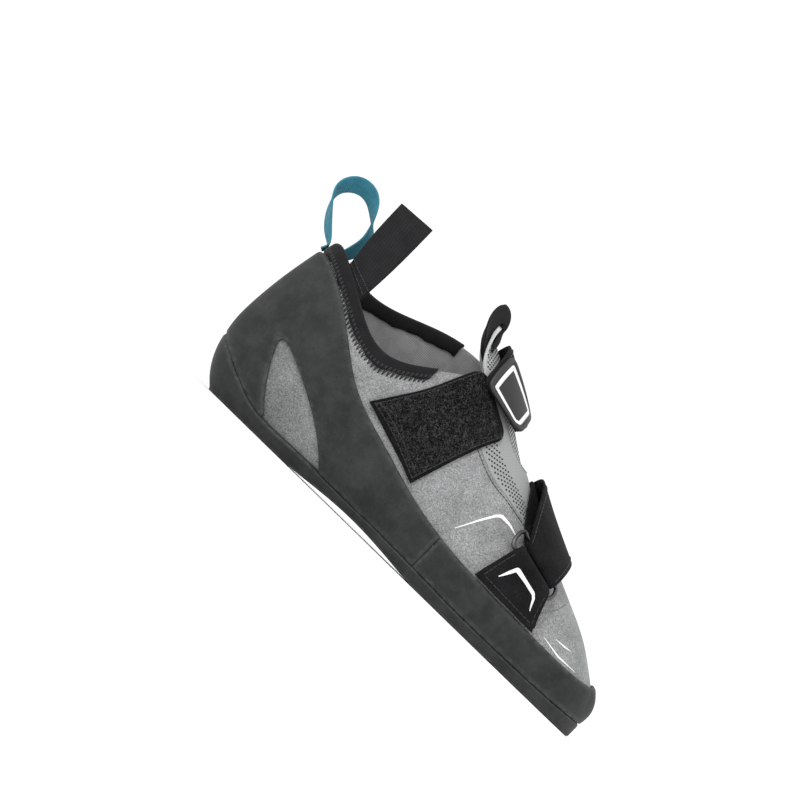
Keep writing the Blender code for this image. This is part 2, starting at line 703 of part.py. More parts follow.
def down_to_rand(girth, x):
    place = station_at(x, np.full(len(x), BASE_LOW))
    low = q_at_height(place, column(place, "rand_z") + BASE_CLEAR) - 1.0
    share = np.maximum(BASE_HIGH - girth, 0.0) / (BASE_HIGH - BASE_LOW)
    return girth + share * (low - BASE_LOW)


UPPER_BAR = PathRow(-0.415, 4.4)
LOWER_BAR = PathRow(-0.523, 4.1)
add_folded("forefoot_strap", [
    PathRow(0.68, 1.1), PathRow(0.55, 1.1), PathRow(0.4, 1.1), PathRow(0.2, 1.1), PathRow(0.02, 1.1),
    PathRow(-0.16, 1.1), PathRow(-0.3, 1.15), PathRow(-0.39, 1.6), PathRow(-0.437, 2.7), PathRow(-0.455, 4.6),
    PathRow(-0.44, 6.5), PathRow(-0.39, 7.7), PathRow(-0.3, 8.2), PathRow(-0.18, 7.8), PathRow(-0.06, 6.2),
    PathRow(0.06, 4.4), PathRow(0.2, 3.3), PathRow(0.36, 3.1), PathRow(0.5, 3.1),
], 35, forefoot_rear, forefoot_front, 4, FOLDED, "black_cloth")
add_folded("forefoot_strap_base", [
    PathRow(BASE_LOW, 1.1), PathRow(-0.7, 1.1), PathRow(-0.63, 1.1), PathRow(-0.56, 1.15), PathRow(-0.503, 1.8),
    PathRow(-0.486, 4.0), PathRow(-0.503, 6.2), PathRow(-0.545, 6.5), PathRow(-0.6, 5.0), PathRow(-0.66, 3.5),
    PathRow(-0.71, 3.0), PathRow(BASE_LOW, 2.9),
], 22, base_rear, base_front, 4, FOLDED, "black_cloth", down_to_rand)


def add_wire(name, points, radius, finish):
    """A closed round wire."""
    wire = bpy.data.curves.new(name, "CURVE")
    wire.dimensions = "3D"
    wire.bevel_depth = radius * MM
    wire.bevel_resolution = 2
    line = wire.splines.new("POLY")
    line.points.add(len(points) - 1)
    for spot, point in zip(line.points, points):
        spot.co = (*(float(v) * MM for v in point), 1.0)
    line.use_cyclic_u = True
    wire.materials.append(material(finish))
    piece = bpy.data.objects.new(name, wire)
    bpy.context.scene.collection.objects.link(piece)
    piece.parent = SHOE
    return piece


# How far the ring's round ends reach, as a share of a half circle
RING_END = 0.55


def ring_points():
    """A wire ring with round ends: along one bar, round, and back along the other."""
    middle_girth = 0.5 * (UPPER_BAR.girth + LOWER_BAR.girth)
    reach_girth = 0.5 * (UPPER_BAR.girth - LOWER_BAR.girth)
    middle_off = 0.5 * (UPPER_BAR.off + LOWER_BAR.off)
    reach_off = 0.5 * (UPPER_BAR.off - LOWER_BAR.off)
    rear, front = forefoot_rear(UPPER_BAR.girth), forefoot_front(UPPER_BAR.girth)
    centre = 0.5 * (rear + front)
    half = 0.5 * (front - rear) + 0.8
    points = []
    for end in (1.0, -1.0):
        for angle in np.linspace(0.5 * math.pi, -0.5 * math.pi, 9):
            swing = end * math.sin(angle)
            girth = middle_girth + reach_girth * swing
            x = centre + end * (half + reach_girth * GIRTH_MM * math.cos(angle) * RING_END)
            points.append(skin(station_at(x, girth), girth, middle_off + reach_off * swing))
    return points


add_wire("forefoot_ring", ring_points(), WIRE, "steel")

# Tongue tab: a padded strip folded over the tongue's top edge
TAB_REACH = 0.2
TAB_THICK = 2.0
TAB_CLEAR = 2.5 * GAP
TAB_COLUMNS = 11
# How far the outer and the inner flap come down from the tongue's top, in stations
TAB_OUTER = 0.5
TAB_INNER = 0.72


def add_tongue_tab():
    """The strip's section along the tongue, carried across it."""
    top = TONGUE_ROWS[0].station
    thick = TAB_THICK
    outside_off, inside_off = TONGUE_OFF + TAB_CLEAR, TONGUE_OFF - TONGUE - TAB_CLEAR
    middle = 0.5 * (outside_off + inside_off)
    profile = [
        (top + TAB_OUTER, outside_off), (top + TAB_OUTER, outside_off + 0.6 * thick),
        (top + 0.3, outside_off + thick), (top + 0.05, outside_off + 0.9 * thick),
        (top - 0.1, outside_off + 0.3 * thick), (top - 0.14, middle),
        (top - 0.1, inside_off - 0.3 * thick), (top + 0.05, inside_off - 0.8 * thick),
        (top + 0.3, inside_off - 0.8 * thick), (top + 0.55, inside_off - 0.8 * thick),
        (top + TAB_INNER, inside_off - 0.6 * thick), (top + TAB_INNER, inside_off),
        (top + 0.54, inside_off), (top + 0.36, inside_off), (top + 0.25, inside_off),
        (top + 0.13, inside_off), (top - 0.05, inside_off),
        (top - 0.05, outside_off), (top + 0.13, outside_off), (top + 0.25, outside_off), (top + 0.36, outside_off),
    ]
    rings = []
    for girth in TAB_REACH * spread_from_ridge(TAB_COLUMNS):
        stations = np.array([station for station, _ in profile])
        offs = np.array([off for _, off in profile])
        rings.append(tongue_skin(stations, np.full(len(profile), girth), offs))
    add_loft("tongue_tab", rings, "black_cloth")


add_tongue_tab()


# Pull loop: a ribbon that stands free over the heel and twists along its run
def add_ribbon(name, line, turns, width, thick, finish):
    """A ribbon along a line in the XZ plane; turns is how far its width leans off the Y axis at each point."""
    run = np.gradient(line, axis=0)
    run /= np.linalg.norm(run, axis=1, keepdims=True)
    rings = []
    share = np.array([-0.5, 0.5])[:, None]
    for point, forward, turn in zip(line, run, turns):
        upright = np.cross(forward, np.array([0.0, 1.0, 0.0]))
        across = np.array([0.0, math.cos(turn), 0.0]) + upright * math.sin(turn)
        up = np.cross(forward, across)
        edge = point + share * width * across
        rings.append(flat_ring(edge + 0.5 * thick * up, edge - 0.5 * thick * up))
    return add_loft(name, rings, finish)


def heel_point(z, off):
    return skin(0.0, -(1.0 - q_at_height(0.0, z)), off)


FREE_LOOP = [(-1.5, 95.5), (-8.8, 105.0), (-10.6, 114.0), (-5.0, 120.6), (3.8, 120.4), (11.4, 113.0),
             (16.6, 102.0)]
LOOP_WIDTH = 10.0
LOOP_RINGS = 35
LOOP_TURNS = [0.0, 6.0, 20.0, 10.0, -22.0, -46.0, -40.0, -8.0, 30.0, 16.0, 0.0]
loop_line = [heel_point(85.2, 2.9), heel_point(89.5, 3.1)]
loop_line += [np.array([x, 0.0, z]) for x, z in FREE_LOOP]
loop_line += [heel_point(91.0, -5.6), heel_point(82.0, -5.6)]
loop_turns = np.radians(curve_through(np.array(LOOP_TURNS)[:, None], LOOP_RINGS)[:, 0])
add_ribbon("heel_pull_loop", curve_through(loop_line, LOOP_RINGS), loop_turns, LOOP_WIDTH, RIBBON, "teal_ribbon")


# Pull tab: rows sewn inside the collar by height and offset, then free rows by their two ends
TabRow = namedtuple("TabRow", "rear_z front_z off")
TAB_SEWN = [TabRow(64.0, 58.0, -3.5), TabRow(74.0, 66.0, -3.7), TabRow(86.0, 76.5, -5.2)]
TAB_FREE = [((18.0, -12.8, 103.0), (37.0, -18.4, 100.0)), ((16.8, -11.0, 127.2), (36.9, -15.8, 127.6))]


def add_pull_tab():
    """Doubled webbing, sewn inside the outer side of the collar and standing up from it."""
    stations = np.linspace(1.25, 2.0, 4)
    share = np.linspace(0.0, 1.0, 4)
    rows = []
    for row in TAB_SEWN:
        girths = q_at_height(stations, row.rear_z + (row.front_z - row.rear_z) * share) - 1.0
        rows.append(skin(stations, girths, row.off))
    for rear, front in TAB_FREE:
        rows.append(np.array(rear) + (np.array(front) - np.array(rear)) * share[:, None])
    rows = curve_through(np.array(rows).reshape(len(rows), -1), 11).reshape(11, 4, 3)
    rings = []
    for edge in rows:
        face = np.cross(edge[-1] - edge[0], np.array([0.0, 0.0, 1.0]))
        face /= np.linalg.norm(face)
        rings.append(flat_ring(edge + 0.5 * WEBBING * face, edge - 0.5 * WEBBING * face))
    add_loft("heel_pull_tab", rings, "black_cloth")


add_pull_tab()

# Origin: under the middle of the whole shoe, on the floor
bpy.context.view_layer.update()
corners = [piece.matrix_world @ Vector(corner) for piece in SHOE.children for corner in piece.bound_box]
middle = [0.5 * (min(spot[i] for spot in corners) + max(spot[i] for spot in corners)) for i in (0, 1)]
SHOE.location = (-middle[0], -middle[1], 0.0)
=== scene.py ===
"""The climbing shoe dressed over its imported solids: rubber, suede, knit, straps and stitching.

Shapes are worked out in millimetres on the same last as the solids: toe +X, outer side -Y, floor Z = 0.
"""

import math
from collections import namedtuple
from functools import partial

import bmesh
import bpy
import numpy as np
from mathutils import Matrix, Vector


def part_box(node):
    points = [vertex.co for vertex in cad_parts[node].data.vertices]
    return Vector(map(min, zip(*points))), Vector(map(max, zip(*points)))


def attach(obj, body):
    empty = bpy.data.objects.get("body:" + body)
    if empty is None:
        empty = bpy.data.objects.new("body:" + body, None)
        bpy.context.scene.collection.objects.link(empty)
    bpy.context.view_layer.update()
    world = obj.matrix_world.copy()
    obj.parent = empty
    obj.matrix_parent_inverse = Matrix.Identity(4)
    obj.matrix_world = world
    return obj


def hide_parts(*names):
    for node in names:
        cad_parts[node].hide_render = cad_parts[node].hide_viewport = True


MM = 0.001
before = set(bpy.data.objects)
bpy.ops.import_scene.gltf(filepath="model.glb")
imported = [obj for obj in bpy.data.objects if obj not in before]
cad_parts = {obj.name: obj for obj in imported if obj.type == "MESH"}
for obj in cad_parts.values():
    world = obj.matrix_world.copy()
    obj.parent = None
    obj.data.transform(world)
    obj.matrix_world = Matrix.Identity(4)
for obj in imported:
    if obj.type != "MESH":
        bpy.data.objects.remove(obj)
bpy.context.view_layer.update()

# Sizes in millimetres, as in the solids
WALL = 1.8
GAP = 0.3
SOLE = 3.9
RAND = 2.0
EDGE_STEP = 2.5
INSOLE = 2.5
TONGUE = 2.2
BINDING = 1.0
BINDING_DROP = 6.0
STRAP = 1.9
FOLDED = 1.4
RIBBON = 1.2
WEBBING = 2.4
WIRE = 1.0

Arch = namedtuple("Arch", "start end rise")
ARCH_OUTER = Arch(60.0, 150.0, 3.0)
ARCH_INNER = Arch(46.0, 166.0, 11.5)
LOW_SHARE = 0.2
FOOT_RISE = 0.35

Section = namedtuple(
    "Section",
    "foot_x foot_y wide_x wide_y wide_z top_x top_y top_z side crown edge_z seam_z rand_z footprint",
)

# Heel back, then the outer side to the toe tip
OUTER = [
    Section(15, 0, 0, 0, 38, 11, 0, 104, 0.40, 0.05, 92, 26, 84, 0.20),
    Section(20, -13, 8, -19, 36, 17, -15, 106, 0.40, 0.05, 90, 20, 82.5, 0.30),
    Section(37, -22, 34, -30.5, 33, 36.5, -24, 110, 0.40, 0.05, 78, 9.5, 70, 0.60),
    Section(64, -25.5, 63, -33.5, 30, 64, -18, 117, 0.42, 0.15, 68, 8.5, 49, 0.75),
    Section(92, -29, 92, -36.5, 28, 88, 0, 117, 0.44, 0.48, 85, 8.5, 38, 0.80),
    Section(116, -33, 116, -39.5, 26, 114, 0, 103, 0.40, 0.48, 93, 8.5, 30.5, 0.80),
    Section(140, -38, 140, -42.5, 23, 137, 0, 86.5, 0.44, 0.50, 80.5, 7.5, 25.5, 0.90),
    Section(164, -41.5, 164, -45, 20, 160, 0.5, 71, 0.48, 0.55, 77, 6.6, 23.2, 1.0),
    Section(188, -41.5, 188.5, -44.6, 18, 183, 1.5, 58.5, 0.52, 0.60, 72, 6.6, 22.5, 1.0),
    Section(213, -36, 214.5, -38.6, 16, 205, 2, 48, 0.52, 0.58, 66, 7.0, 22, 1.0),
    Section(235, -21, 237, -23.2, 15, 223, 3, 39, 0.50, 0.50, 60, 8.0, 23.2, 1.0),
    Section(246, 4, 249.6, 4, 14, 238, 4, 28.5, 0.45, 0.45, 56, 8.8, 25.4, 1.0),
]

# The inner side, heel corner to toe corner
INNER = [
    Section(20, 12.5, 8, 18.5, 36, 17, 15, 106, 0.40, 0.05, 91, 20, 82.5, 0.30),
    Section(37, 21, 34, 29.5, 34, 36.5, 24, 110, 0.40, 0.05, 88, 10.5, 70, 0.60),
    Section(64, 20.5, 63, 30, 34, 64, 18, 120, 0.42, 0.15, 96, 13, 50, 0.75),
    Section(92, 19.5, 92, 29.5, 37, 88, 0, 117, 0.44, 0.48, 102, 20, 43, 0.80),
    Section(117, 21.5, 117, 32, 35, 114, 0, 103, 0.40, 0.48, 97, 20.5, 38, 0.80),
    Section(142, 26.5, 142, 36, 30, 137, 0, 86.5, 0.44, 0.50, 82, 14.5, 32, 0.90),
    Section(168, 34.5, 168, 39.2, 23, 160, 0.5, 71, 0.48, 0.55, 77, 7.5, 26, 1.0),
    Section(192, 37, 192.5, 40.3, 19, 183, 1.5, 58.5, 0.52, 0.60, 72, 6.6, 24, 1.0),
    Section(216, 34.3, 217.5, 37.2, 17, 205, 2, 48, 0.52, 0.58, 66, 7.0, 23, 1.0),
    Section(236, 24.5, 238.5, 26.6, 15.5, 223, 3, 39, 0.50, 0.50, 60, 8.0, 23.6, 1.0),
]

GIRTH_MM = 78.0
TIP = len(OUTER) - 1
LOOP = OUTER + INNER[::-1]
TURN = len(LOOP)
RIDGE_START = 4
RAND_JOIN = 6.0
WINDOW_REAR = (42.7, 0.92, -0.0088)
WINDOW_FRONT = (78.6, 0.84, 0.0232)
WINDOW_FOOT = 8.8
WINDOW_TOP = 41.0
WINDOW_SOFT = 1.2
# About how long a station is, and where near the ridge the normals of both sides mix
STATION_MM = 24.0
NEAR_RIDGE = 0.985
RIDGE_MIX = 0.03


def cubic(rows, closed):
    """The second derivatives of the cubic spline through rows that are one step apart."""
    rows = np.asarray(rows, float)
    count = len(rows)
    matrix = np.zeros((count, count))
    right = np.zeros_like(rows)
    for i in range(count):
        if not closed and i in (0, count - 1):
            matrix[i, i] = 1.0
            continue
        before, after = (i - 1) % count, (i + 1) % count
        matrix[i, before] += 1.0
        matrix[i, i] += 4.0
        matrix[i, after] += 1.0
        right[i] = 6.0 * (rows[before] - 2.0 * rows[i] + rows[after])
    return np.linalg.solve(matrix, right)


def along(rows, bend, place, closed):
    """The spline's values at the places, counted in rows."""
    rows = np.asarray(rows, float)
    count = len(rows)
    place = np.asarray(place, float)
    if closed:
        place = np.mod(place, count)
        low = np.floor(place).astype(int) % count
        high = (low + 1) % count
    else:
        place = np.clip(place, 0.0, count - 1)
        low = np.minimum(np.floor(place).astype(int), count - 2)
        high = low + 1
    t = (place - np.floor(place) if closed else place - low)[..., None]
    s = 1.0 - t
    bent = ((s**3 - s) * bend[low] + (t**3 - t) * bend[high]) / 6.0
    return s * rows[low] + t * rows[high] + bent


def curve_at(rows, share):
    """Rows on the open spline through the given ones, at shares of its run from 0 to 1."""
    rows = np.asarray(rows, float)
    return along(rows, cubic(rows, False), np.asarray(share, float) * (len(rows) - 1), False)


def ridge_slope(rows):
    """Slope of the ridge at each row, as a gradient in plan, so that both sides meet it without a crease."""
    place = [Section._fields.index(name) for name in ("top_x", "top_y", "top_z")]
    slopes = np.zeros((len(rows), 2))
    for i in range(RIDGE_START, TURN - RIDGE_START + 1):
        step = rows[min(i + 1, TIP), place] - rows[i - 1, place]
        if i > TIP:
            step = rows[max(i - 1, TIP), place] - rows[i + 1, place]
        slopes[i] = step[2] * step[:2] / np.dot(step[:2], step[:2])
    return slopes


ROWS = np.array(LOOP, float)
ROWS = np.hstack([ROWS, ridge_slope(ROWS)])
BEND = cubic(ROWS, True)


def column(place, name):
    """One column of the section table at places round the loop."""
    return along(ROWS, BEND, place, True)[..., Section._fields.index(name)]


def arch(x, inner_share):
    """Height of the sole's underside above the floor."""
    rises = []
    for side in (ARCH_OUTER, ARCH_INNER):
        t = np.clip((np.asarray(x, float) - side.start) / (side.end - side.start), 0.0, 1.0)
        rises.append(side.rise * np.sin(math.pi * t) ** 1.5)
    return rises[0] + (rises[1] - rises[0]) * inner_share


def short_of_ridge(place, top_y):
    """The top of one side, kept from crossing the middle line that it shares with the other side."""
    middle = 0.5 * (top_y + column(TURN - place, "top_y"))
    side = np.where(place > TIP, 1.0, -1.0)
    reach = side * (top_y - middle)
    station = np.minimum(place, TURN - place)
    soft = np.clip(np.minimum(station, TIP - station), 0.0, 1.0)
    return middle + side * 0.5 * (reach + np.sqrt(reach**2 + soft**2))


def on_last(place, q):
    """Points of the last: place runs round the loop, q from the foot line (0) up to the ridge (1)."""
    place = np.mod(np.asarray(place, float), TURN)
    q = np.asarray(q, float)
    row = along(ROWS, BEND, place, True)
    part = {name: row[..., i] for i, name in enumerate(Section._fields)}
    part["top_y"] = short_of_ridge(place, part["top_y"])
    foot_z = arch(part["foot_x"], np.where(place > TIP, 1.0, 0.0)) + SOLE + GAP
    a = np.clip(q / LOW_SHARE, 0.0, 1.0)
    low_out = 1.0 - (1.0 - a) ** 2
    low_up = 2.0 * a * (1.0 - a) * FOOT_RISE + a**2
    r = np.clip((q - LOW_SHARE) / (1.0 - LOW_SHARE), 0.0, 1.0)
    first, second, third = 3.0 * (1.0 - r) ** 2 * r, 3.0 * (1.0 - r) * r**2, r**3
    out_x, out_y = part["wide_x"] - part["top_x"], part["wide_y"] - part["top_y"]
    rise = part["top_z"] - part["wide_z"]
    fall = -part["crown"] * (row[..., -2] * out_x + row[..., -1] * out_y) / rise
    up = first * part["side"] + second * (1.0 - fall) + third
    lean = second * (1.0 - part["crown"]) + third
    low = q < LOW_SHARE
    x = np.where(low, part["foot_x"] + (part["wide_x"] - part["foot_x"]) * low_out,
                 part["wide_x"] + (part["top_x"] - part["wide_x"]) * lean)
    y = np.where(low, part["foot_y"] + (part["wide_y"] - part["foot_y"]) * low_out,
                 part["wide_y"] + (part["top_y"] - part["wide_y"]) * lean)
    z = np.where(low, foot_z + (part["wide_z"] - foot_z) * low_up,
                 part["wide_z"] + (part["top_z"] - part["wide_z"]) * up)
    return np.stack([x, y, z], -1)


def unit(vectors):
    return vectors / np.maximum(np.linalg.norm(vectors, axis=-1, keepdims=True), 1e-12)


def arrays(*values):
    """The values as arrays of numbers of one shape."""
    return np.broadcast_arrays(*(np.asarray(value, float) for value in values))


def even_shares(count):
    return np.linspace(0.0, 1.0, count)


def halved(low, high, below, steps=30):
    """Where between low and high below(value) stops being true, by halving."""
    for _ in range(steps):
        middle = 0.5 * (low + high)
        under = below(middle)
        low, high = np.where(under, middle, low), np.where(under, high, middle)
    return 0.5 * (low + high)


def run_of(points):
    """Distance along each line of points, in millimetres; the lines run down the first axis."""
    steps = np.linalg.norm(np.diff(points, axis=0), axis=-1)
    return np.concatenate([np.zeros((1, *steps.shape[1:])), np.cumsum(steps, axis=0)])


def bow(start, pull, end, t):
    """Points on the curve from start to end that leans towards pull."""
    return (1 - t) ** 2 * start + 2 * t * (1 - t) * pull + t**2 * end


def quarter(run):
    """Directions in the plane, turned by a quarter turn."""
    return np.stack([-run[..., 1], run[..., 0]], -1)


def outward(place, q):
    """Unit normals of the last."""
    step = 0.02
    q_low, q_high = np.maximum(q - step, 0.0), np.minimum(q + step, 1.0)
    round_loop = on_last(place + step, q) - on_last(place - step, q)
    up_side = on_last(place, q_high) - on_last(place, q_low)
    return unit(np.cross(round_loop, up_side))


def loop_place(station, girth):
    return np.where(np.asarray(girth) > 0.0, TURN - np.asarray(station, float), station)


def skin_normal(station, girth):
    """Unit normals at a station and girth, the mean of both sides on the ridge."""
    station, girth = arrays(station, girth)
    place = loop_place(station, girth)
    near = np.minimum(1.0 - np.abs(girth), NEAR_RIDGE)
    normal = outward(place, near)
    ridge = np.clip(1.0 - np.abs(girth) / RIDGE_MIX, 0.0, 1.0)[..., None]
    return unit(normal + ridge * outward(TURN - place, near))


def skin(station, girth, off=0.0):
    """Points off the last: station 0 heel to TIP toe, girth -1 outer foot line, 0 ridge, 1 inner."""
    station, girth, off = arrays(station, girth, off)
    place = loop_place(station, girth)
    q = 1.0 - np.abs(girth)
    point = on_last(place, q)
    on_ridge = (np.abs(girth) < 1e-9)[..., None]
    point = np.where(on_ridge, 0.5 * (point + on_last(TURN - place, q)), point)
    return point + skin_normal(station, girth) * off[..., None]


def q_at_height(place, z):
    """Share of the half-girth at which the last reaches a height."""
    place, z = arrays(place, z)
    return halved(np.zeros(z.shape), np.ones(z.shape), lambda q: on_last(place, q)[..., 2] < z)


def station_at(x, girth):
    """Station at which the last reaches an x, at a given girth."""
    x, girth = arrays(x, girth)
    return halved(np.full(x.shape, 1.0), np.full(x.shape, float(TIP)),
                  lambda station: on_last(loop_place(station, girth), 1.0 - np.abs(girth))[..., 0] < x)


def locate(side, x, z):
    """Stations and girths of the points of one side (-1 outer, 1 inner) seen at x, z, up to the ridge."""
    x, z = arrays(x, z)
    girth = np.full(x.shape, side * 0.5)
    for _ in range(8):
        station = station_at(x, girth)
        place = loop_place(station, np.full(x.shape, side))
        girth = side * np.maximum(1e-6, 1.0 - q_at_height(place, z))
    return station, np.where(np.abs(girth) < 1e-4, 0.0, girth)


# Where the last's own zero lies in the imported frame
LOOP_LOW, LOOP_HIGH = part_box("heel_pull_loop")
SHIFT = np.array([
    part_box("toe_rand")[1].x / MM - skin(TIP, LOW_SHARE - 1.0, GAP + RAND)[0],
    0.5 * (LOOP_LOW.y + LOOP_HIGH.y) / MM,
    0.0,
])


# Materials
def feed(tree, socket, value):
    """Joins a socket to another one, or sets its value; a colour gets its alpha."""
    if isinstance(value, bpy.types.NodeSocket):
        tree.links.new(value, socket)
    else:
        socket.default_value = (*value, 1.0) if isinstance(value, tuple) else value


def put(tree, kind, inputs=None, **settings):
    """A shader node with its settings, each input a value or a socket to join."""
    made = tree.nodes.new(kind)
    for name, value in settings.items():
        setattr(made, name, value)
    for name, value in (inputs or {}).items():
        feed(tree, made.inputs[name], value)
    return made


def join(tree, shader, **sockets):
    """Sets or joins the shader's sockets by their names."""
    for name, value in sockets.items():
        feed(tree, shader.inputs[name.replace("_", " ")], value)


def blank(name, **sockets):
    """A new material, its tree and its shader, with constant values set on the shader."""
    made = bpy.data.materials.new(name)
    made.use_nodes = True
    shader = made.node_tree.nodes["Principled BSDF"]
    join(made.node_tree, shader, **sockets)
    return made, made.node_tree, shader


def noise(tree, vector, scale, detail=3.0, roughness=0.55):
    return put(tree, "ShaderNodeTexNoise", {"Vector": vector, "Scale": scale, "Detail": detail,
                                            "Roughness": roughness}).outputs["Fac"]


def ramp(tree, factor, *stops):
    """A colour ramp; each stop is a place and a grey value or a colour."""
    made = put(tree, "ShaderNodeValToRGB", {"Fac": factor})
    elements = made.color_ramp.elements
    while len(elements) < len(stops):
        elements.new(0.5)
    for element, (place, colour) in zip(elements, stops):
        element.position = place
        element.color = (*colour, 1.0) if isinstance(colour, tuple) else (colour, colour, colour, 1.0)
    return made.outputs["Color"]


def blend(tree, factor, one, two, how="MIX"):
    """Two colours mixed; the numbers are the mix node's sockets for its factor and its colours."""
    sockets = {0: factor, 6: one, 7: two}
    return put(tree, "ShaderNodeMix", sockets, data_type="RGBA", blend_type=how).outputs[2]


def times(tree, colour, factor):
    return blend(tree, 1.0, colour, factor, "MULTIPLY")


def scaled(colour, factor):
    return tuple(factor * value for value in colour)


def reckon(tree, operation, one, two=0.0):
    return put(tree, "ShaderNodeMath", {0: one, 1: two}, operation=operation).outputs["Value"]


def wave(tree, value, pitch):
    """A sine wave with one turn for each pitch."""
    return reckon(tree, "SINE", reckon(tree, "MULTIPLY", value, 2.0 * math.pi / pitch))


def split(tree, vector):
    return put(tree, "ShaderNodeSeparateXYZ", {"Vector": vector}).outputs


def spread(tree, value, low, high):
    """A value from 0 to 1 taken to a range."""
    return put(tree, "ShaderNodeMapRange", {"Value": value, "To Min": low, "To Max": high}).outputs["Result"]


def bump(tree, height, distance, strength=1.0, under=None):
    inputs = {"Height": height, "Distance": distance, "Strength": strength}
    if under is not None:
        inputs["Normal"] = under
    return put(tree, "ShaderNodeBump", inputs).outputs["Normal"]


def space(tree):
    return put(tree, "ShaderNodeTexCoord").outputs["Object"]


def attribute(tree, name):
    return put(tree, "ShaderNodeAttribute", attribute_name=name)


def rubber_material(name, dark, light, rough_low, rough_high):
    """Matte rubber: cloudy charcoal, fine pitted grain, rubbed paler along its edges."""
    made, tree, shader = blank(name, Specular_IOR_Level=0.24)
    where = space(tree)
    cloud = noise(tree, where, 55.0, 5.0, 0.6)
    pits = noise(tree, where, 2400.0, 2.0)
    scuff = noise(tree, where, 320.0, 4.0, 0.7)
    base = ramp(tree, cloud, (0.3, dark), (0.72, light))
    edge = attribute(tree, "edge").outputs["Fac"]
    worn = reckon(tree, "MULTIPLY", edge, ramp(tree, scuff, (0.38, 0.1), (0.7, 0.75)))
    colour = blend(tree, worn, base, scaled(light, 5.0))
    dust = noise(tree, where, 90.0, 6.0, 0.68)
    colour = blend(tree, ramp(tree, dust, (0.42, 0.0), (0.68, 0.45)), colour, scaled(light, 2.1))
    fleck = ramp(tree, noise(tree, where, 900.0, 2.0), (0.58, 0.0), (0.72, 0.2))
    colour = blend(tree, fleck, colour, scaled(light, 2.2))
    rough = spread(tree, scuff, rough_low, rough_high)
    low = bump(tree, cloud, 0.0005, 0.25)
    join(tree, shader, Base_Color=colour, Roughness=rough, Normal=bump(tree, pits, 0.00012, 0.5, low))
    return made


KNIT_PITCH = 1.0
# Painted shade on the suede towards the heel's rear and foot, where less light falls: along X and Z, where it
# starts in metres and how fast it changes
HEEL_PAINTED_SHADE = (("X", -0.125, 11.0), ("Z", 0.03, 12.0))


def suede_material(name, dark, light, sheen, knit=None):
    """Microsuede: short nap in soft patches and fine speckle; knit colours the inlay that it may hold, and
    then the suede also gets painted shade towards the heel.
    """
    made, tree, shader = blank(name, Specular_IOR_Level=0.08, Sheen_Weight=sheen, Sheen_Roughness=0.45)
    where = space(tree)
    patches = noise(tree, where, 75.0, 5.0, 0.65)
    speckle = noise(tree, where, 1500.0, 4.0, 0.85)
    nap = noise(tree, where, 420.0, 4.0, 0.7)
    base = ramp(tree, patches, (0.3, dark), (0.7, light))
    grain = ramp(tree, speckle, (0.36, 0.4), (0.5, 0.98), (0.64, 1.65))
    colour = blend(tree, 0.9, base, times(tree, base, grain))
    colour = blend(tree, 0.4, colour, times(tree, colour, ramp(tree, nap, (0.3, 0.7), (0.7, 1.2))))
    edge = attribute(tree, "edge").outputs["Fac"]
    colour = blend(tree, reckon(tree, "MULTIPLY", edge, 0.35), colour, scaled(dark, 0.55))
    if knit:
        place = split(tree, attribute(tree, "weave").outputs["Vector"])
        rows = [wave(tree, place[axis], KNIT_PITCH) for axis in ("X", "Y")]
        yarn = ramp(tree, spread(tree, reckon(tree, "MULTIPLY", *rows), 0.5, 1.0), (0.2, 0.8), (0.8, 1.1))
        inlay = ramp(tree, attribute(tree, "inlay").outputs["Fac"], (0.49, 0.0), (0.51, 1.0))
        # Painted shade: the suede outside the inlay is darkened towards the heel's rear and foot
        spot = split(tree, where)
        rear, rise = (reckon(tree, "MULTIPLY", reckon(tree, "ADD", spot[axis], -start), rate)
                      for axis, start, rate in HEEL_PAINTED_SHADE)
        shade = ramp(tree, reckon(tree, "ADD", rear, rise), (0.1, 0.46), (0.75, 1.04))
        colour = blend(tree, inlay, times(tree, colour, shade), times(tree, knit, yarn))
    rough = spread(tree, nap, 0.82, 0.98)
    low = bump(tree, patches, 0.0006, 0.2)
    join(tree, shader, Base_Color=colour, Roughness=rough, Normal=bump(tree, speckle, 0.0002, 0.55, low))
    return made


def woven_material(name, dark, light, pitch, rib, roughness=0.8, sheen=0.15):
    """Woven tape or cloth: yarns along and across, from the piece's own weave coordinates in millimetres."""
    made, tree, shader = blank(name, Specular_IOR_Level=0.1, Sheen_Weight=sheen, Sheen_Roughness=0.4)
    where = space(tree)
    place = split(tree, attribute(tree, "weave").outputs["Vector"])
    run, cross = wave(tree, place["X"], pitch), wave(tree, place["Y"], rib)
    yarn = reckon(tree, "ADD", reckon(tree, "MULTIPLY", run, 0.5), reckon(tree, "MULTIPLY", cross, 0.5))
    yarn = reckon(tree, "ADD", reckon(tree, "MULTIPLY", yarn, 0.5), 0.5)
    fibre = noise(tree, where, 1600.0, 3.0, 0.7)
    shade = noise(tree, where, 130.0, 4.0, 0.6)
    base = ramp(tree, shade, (0.3, dark), (0.7, light))
    base = blend(tree, reckon(tree, "MULTIPLY", fibre, 0.5), base, scaled(light, 1.6))
    colour = blend(tree, 0.5, base, times(tree, base, ramp(tree, yarn, (0.1, 0.5), (0.9, 1.35))))
    rough = spread(tree, fibre, roughness - 0.12, min(roughness + 0.12, 1.0))
    low = bump(tree, yarn, 0.0002, 0.6)
    join(tree, shader, Base_Color=colour, Roughness=rough, Normal=bump(tree, fibre, 0.00012, 0.5, low))
    return made


def fleece_material(name, dark, light):
    """The brushed face of hook-and-loop tape: matted nylon, lighter at the fibre tips."""
    made, tree, shader = blank(name, Specular_IOR_Level=0.05, Sheen_Weight=0.02, Sheen_Roughness=0.35)
    where = space(tree)
    mat = noise(tree, where, 1300.0, 3.0, 0.75)
    clump = noise(tree, where, 420.0, 3.0, 0.6)
    base = ramp(tree, mat, (0.48, dark), (0.66, light))
    colour = blend(tree, ramp(tree, clump, (0.4, 0.0), (0.7, 0.35)), base, scaled(light, 1.5))
    rough = spread(tree, mat, 0.62, 0.95)
    join(tree, shader, Base_Color=colour, Roughness=rough, Normal=bump(tree, mat, 0.0005, 0.8))
    return made


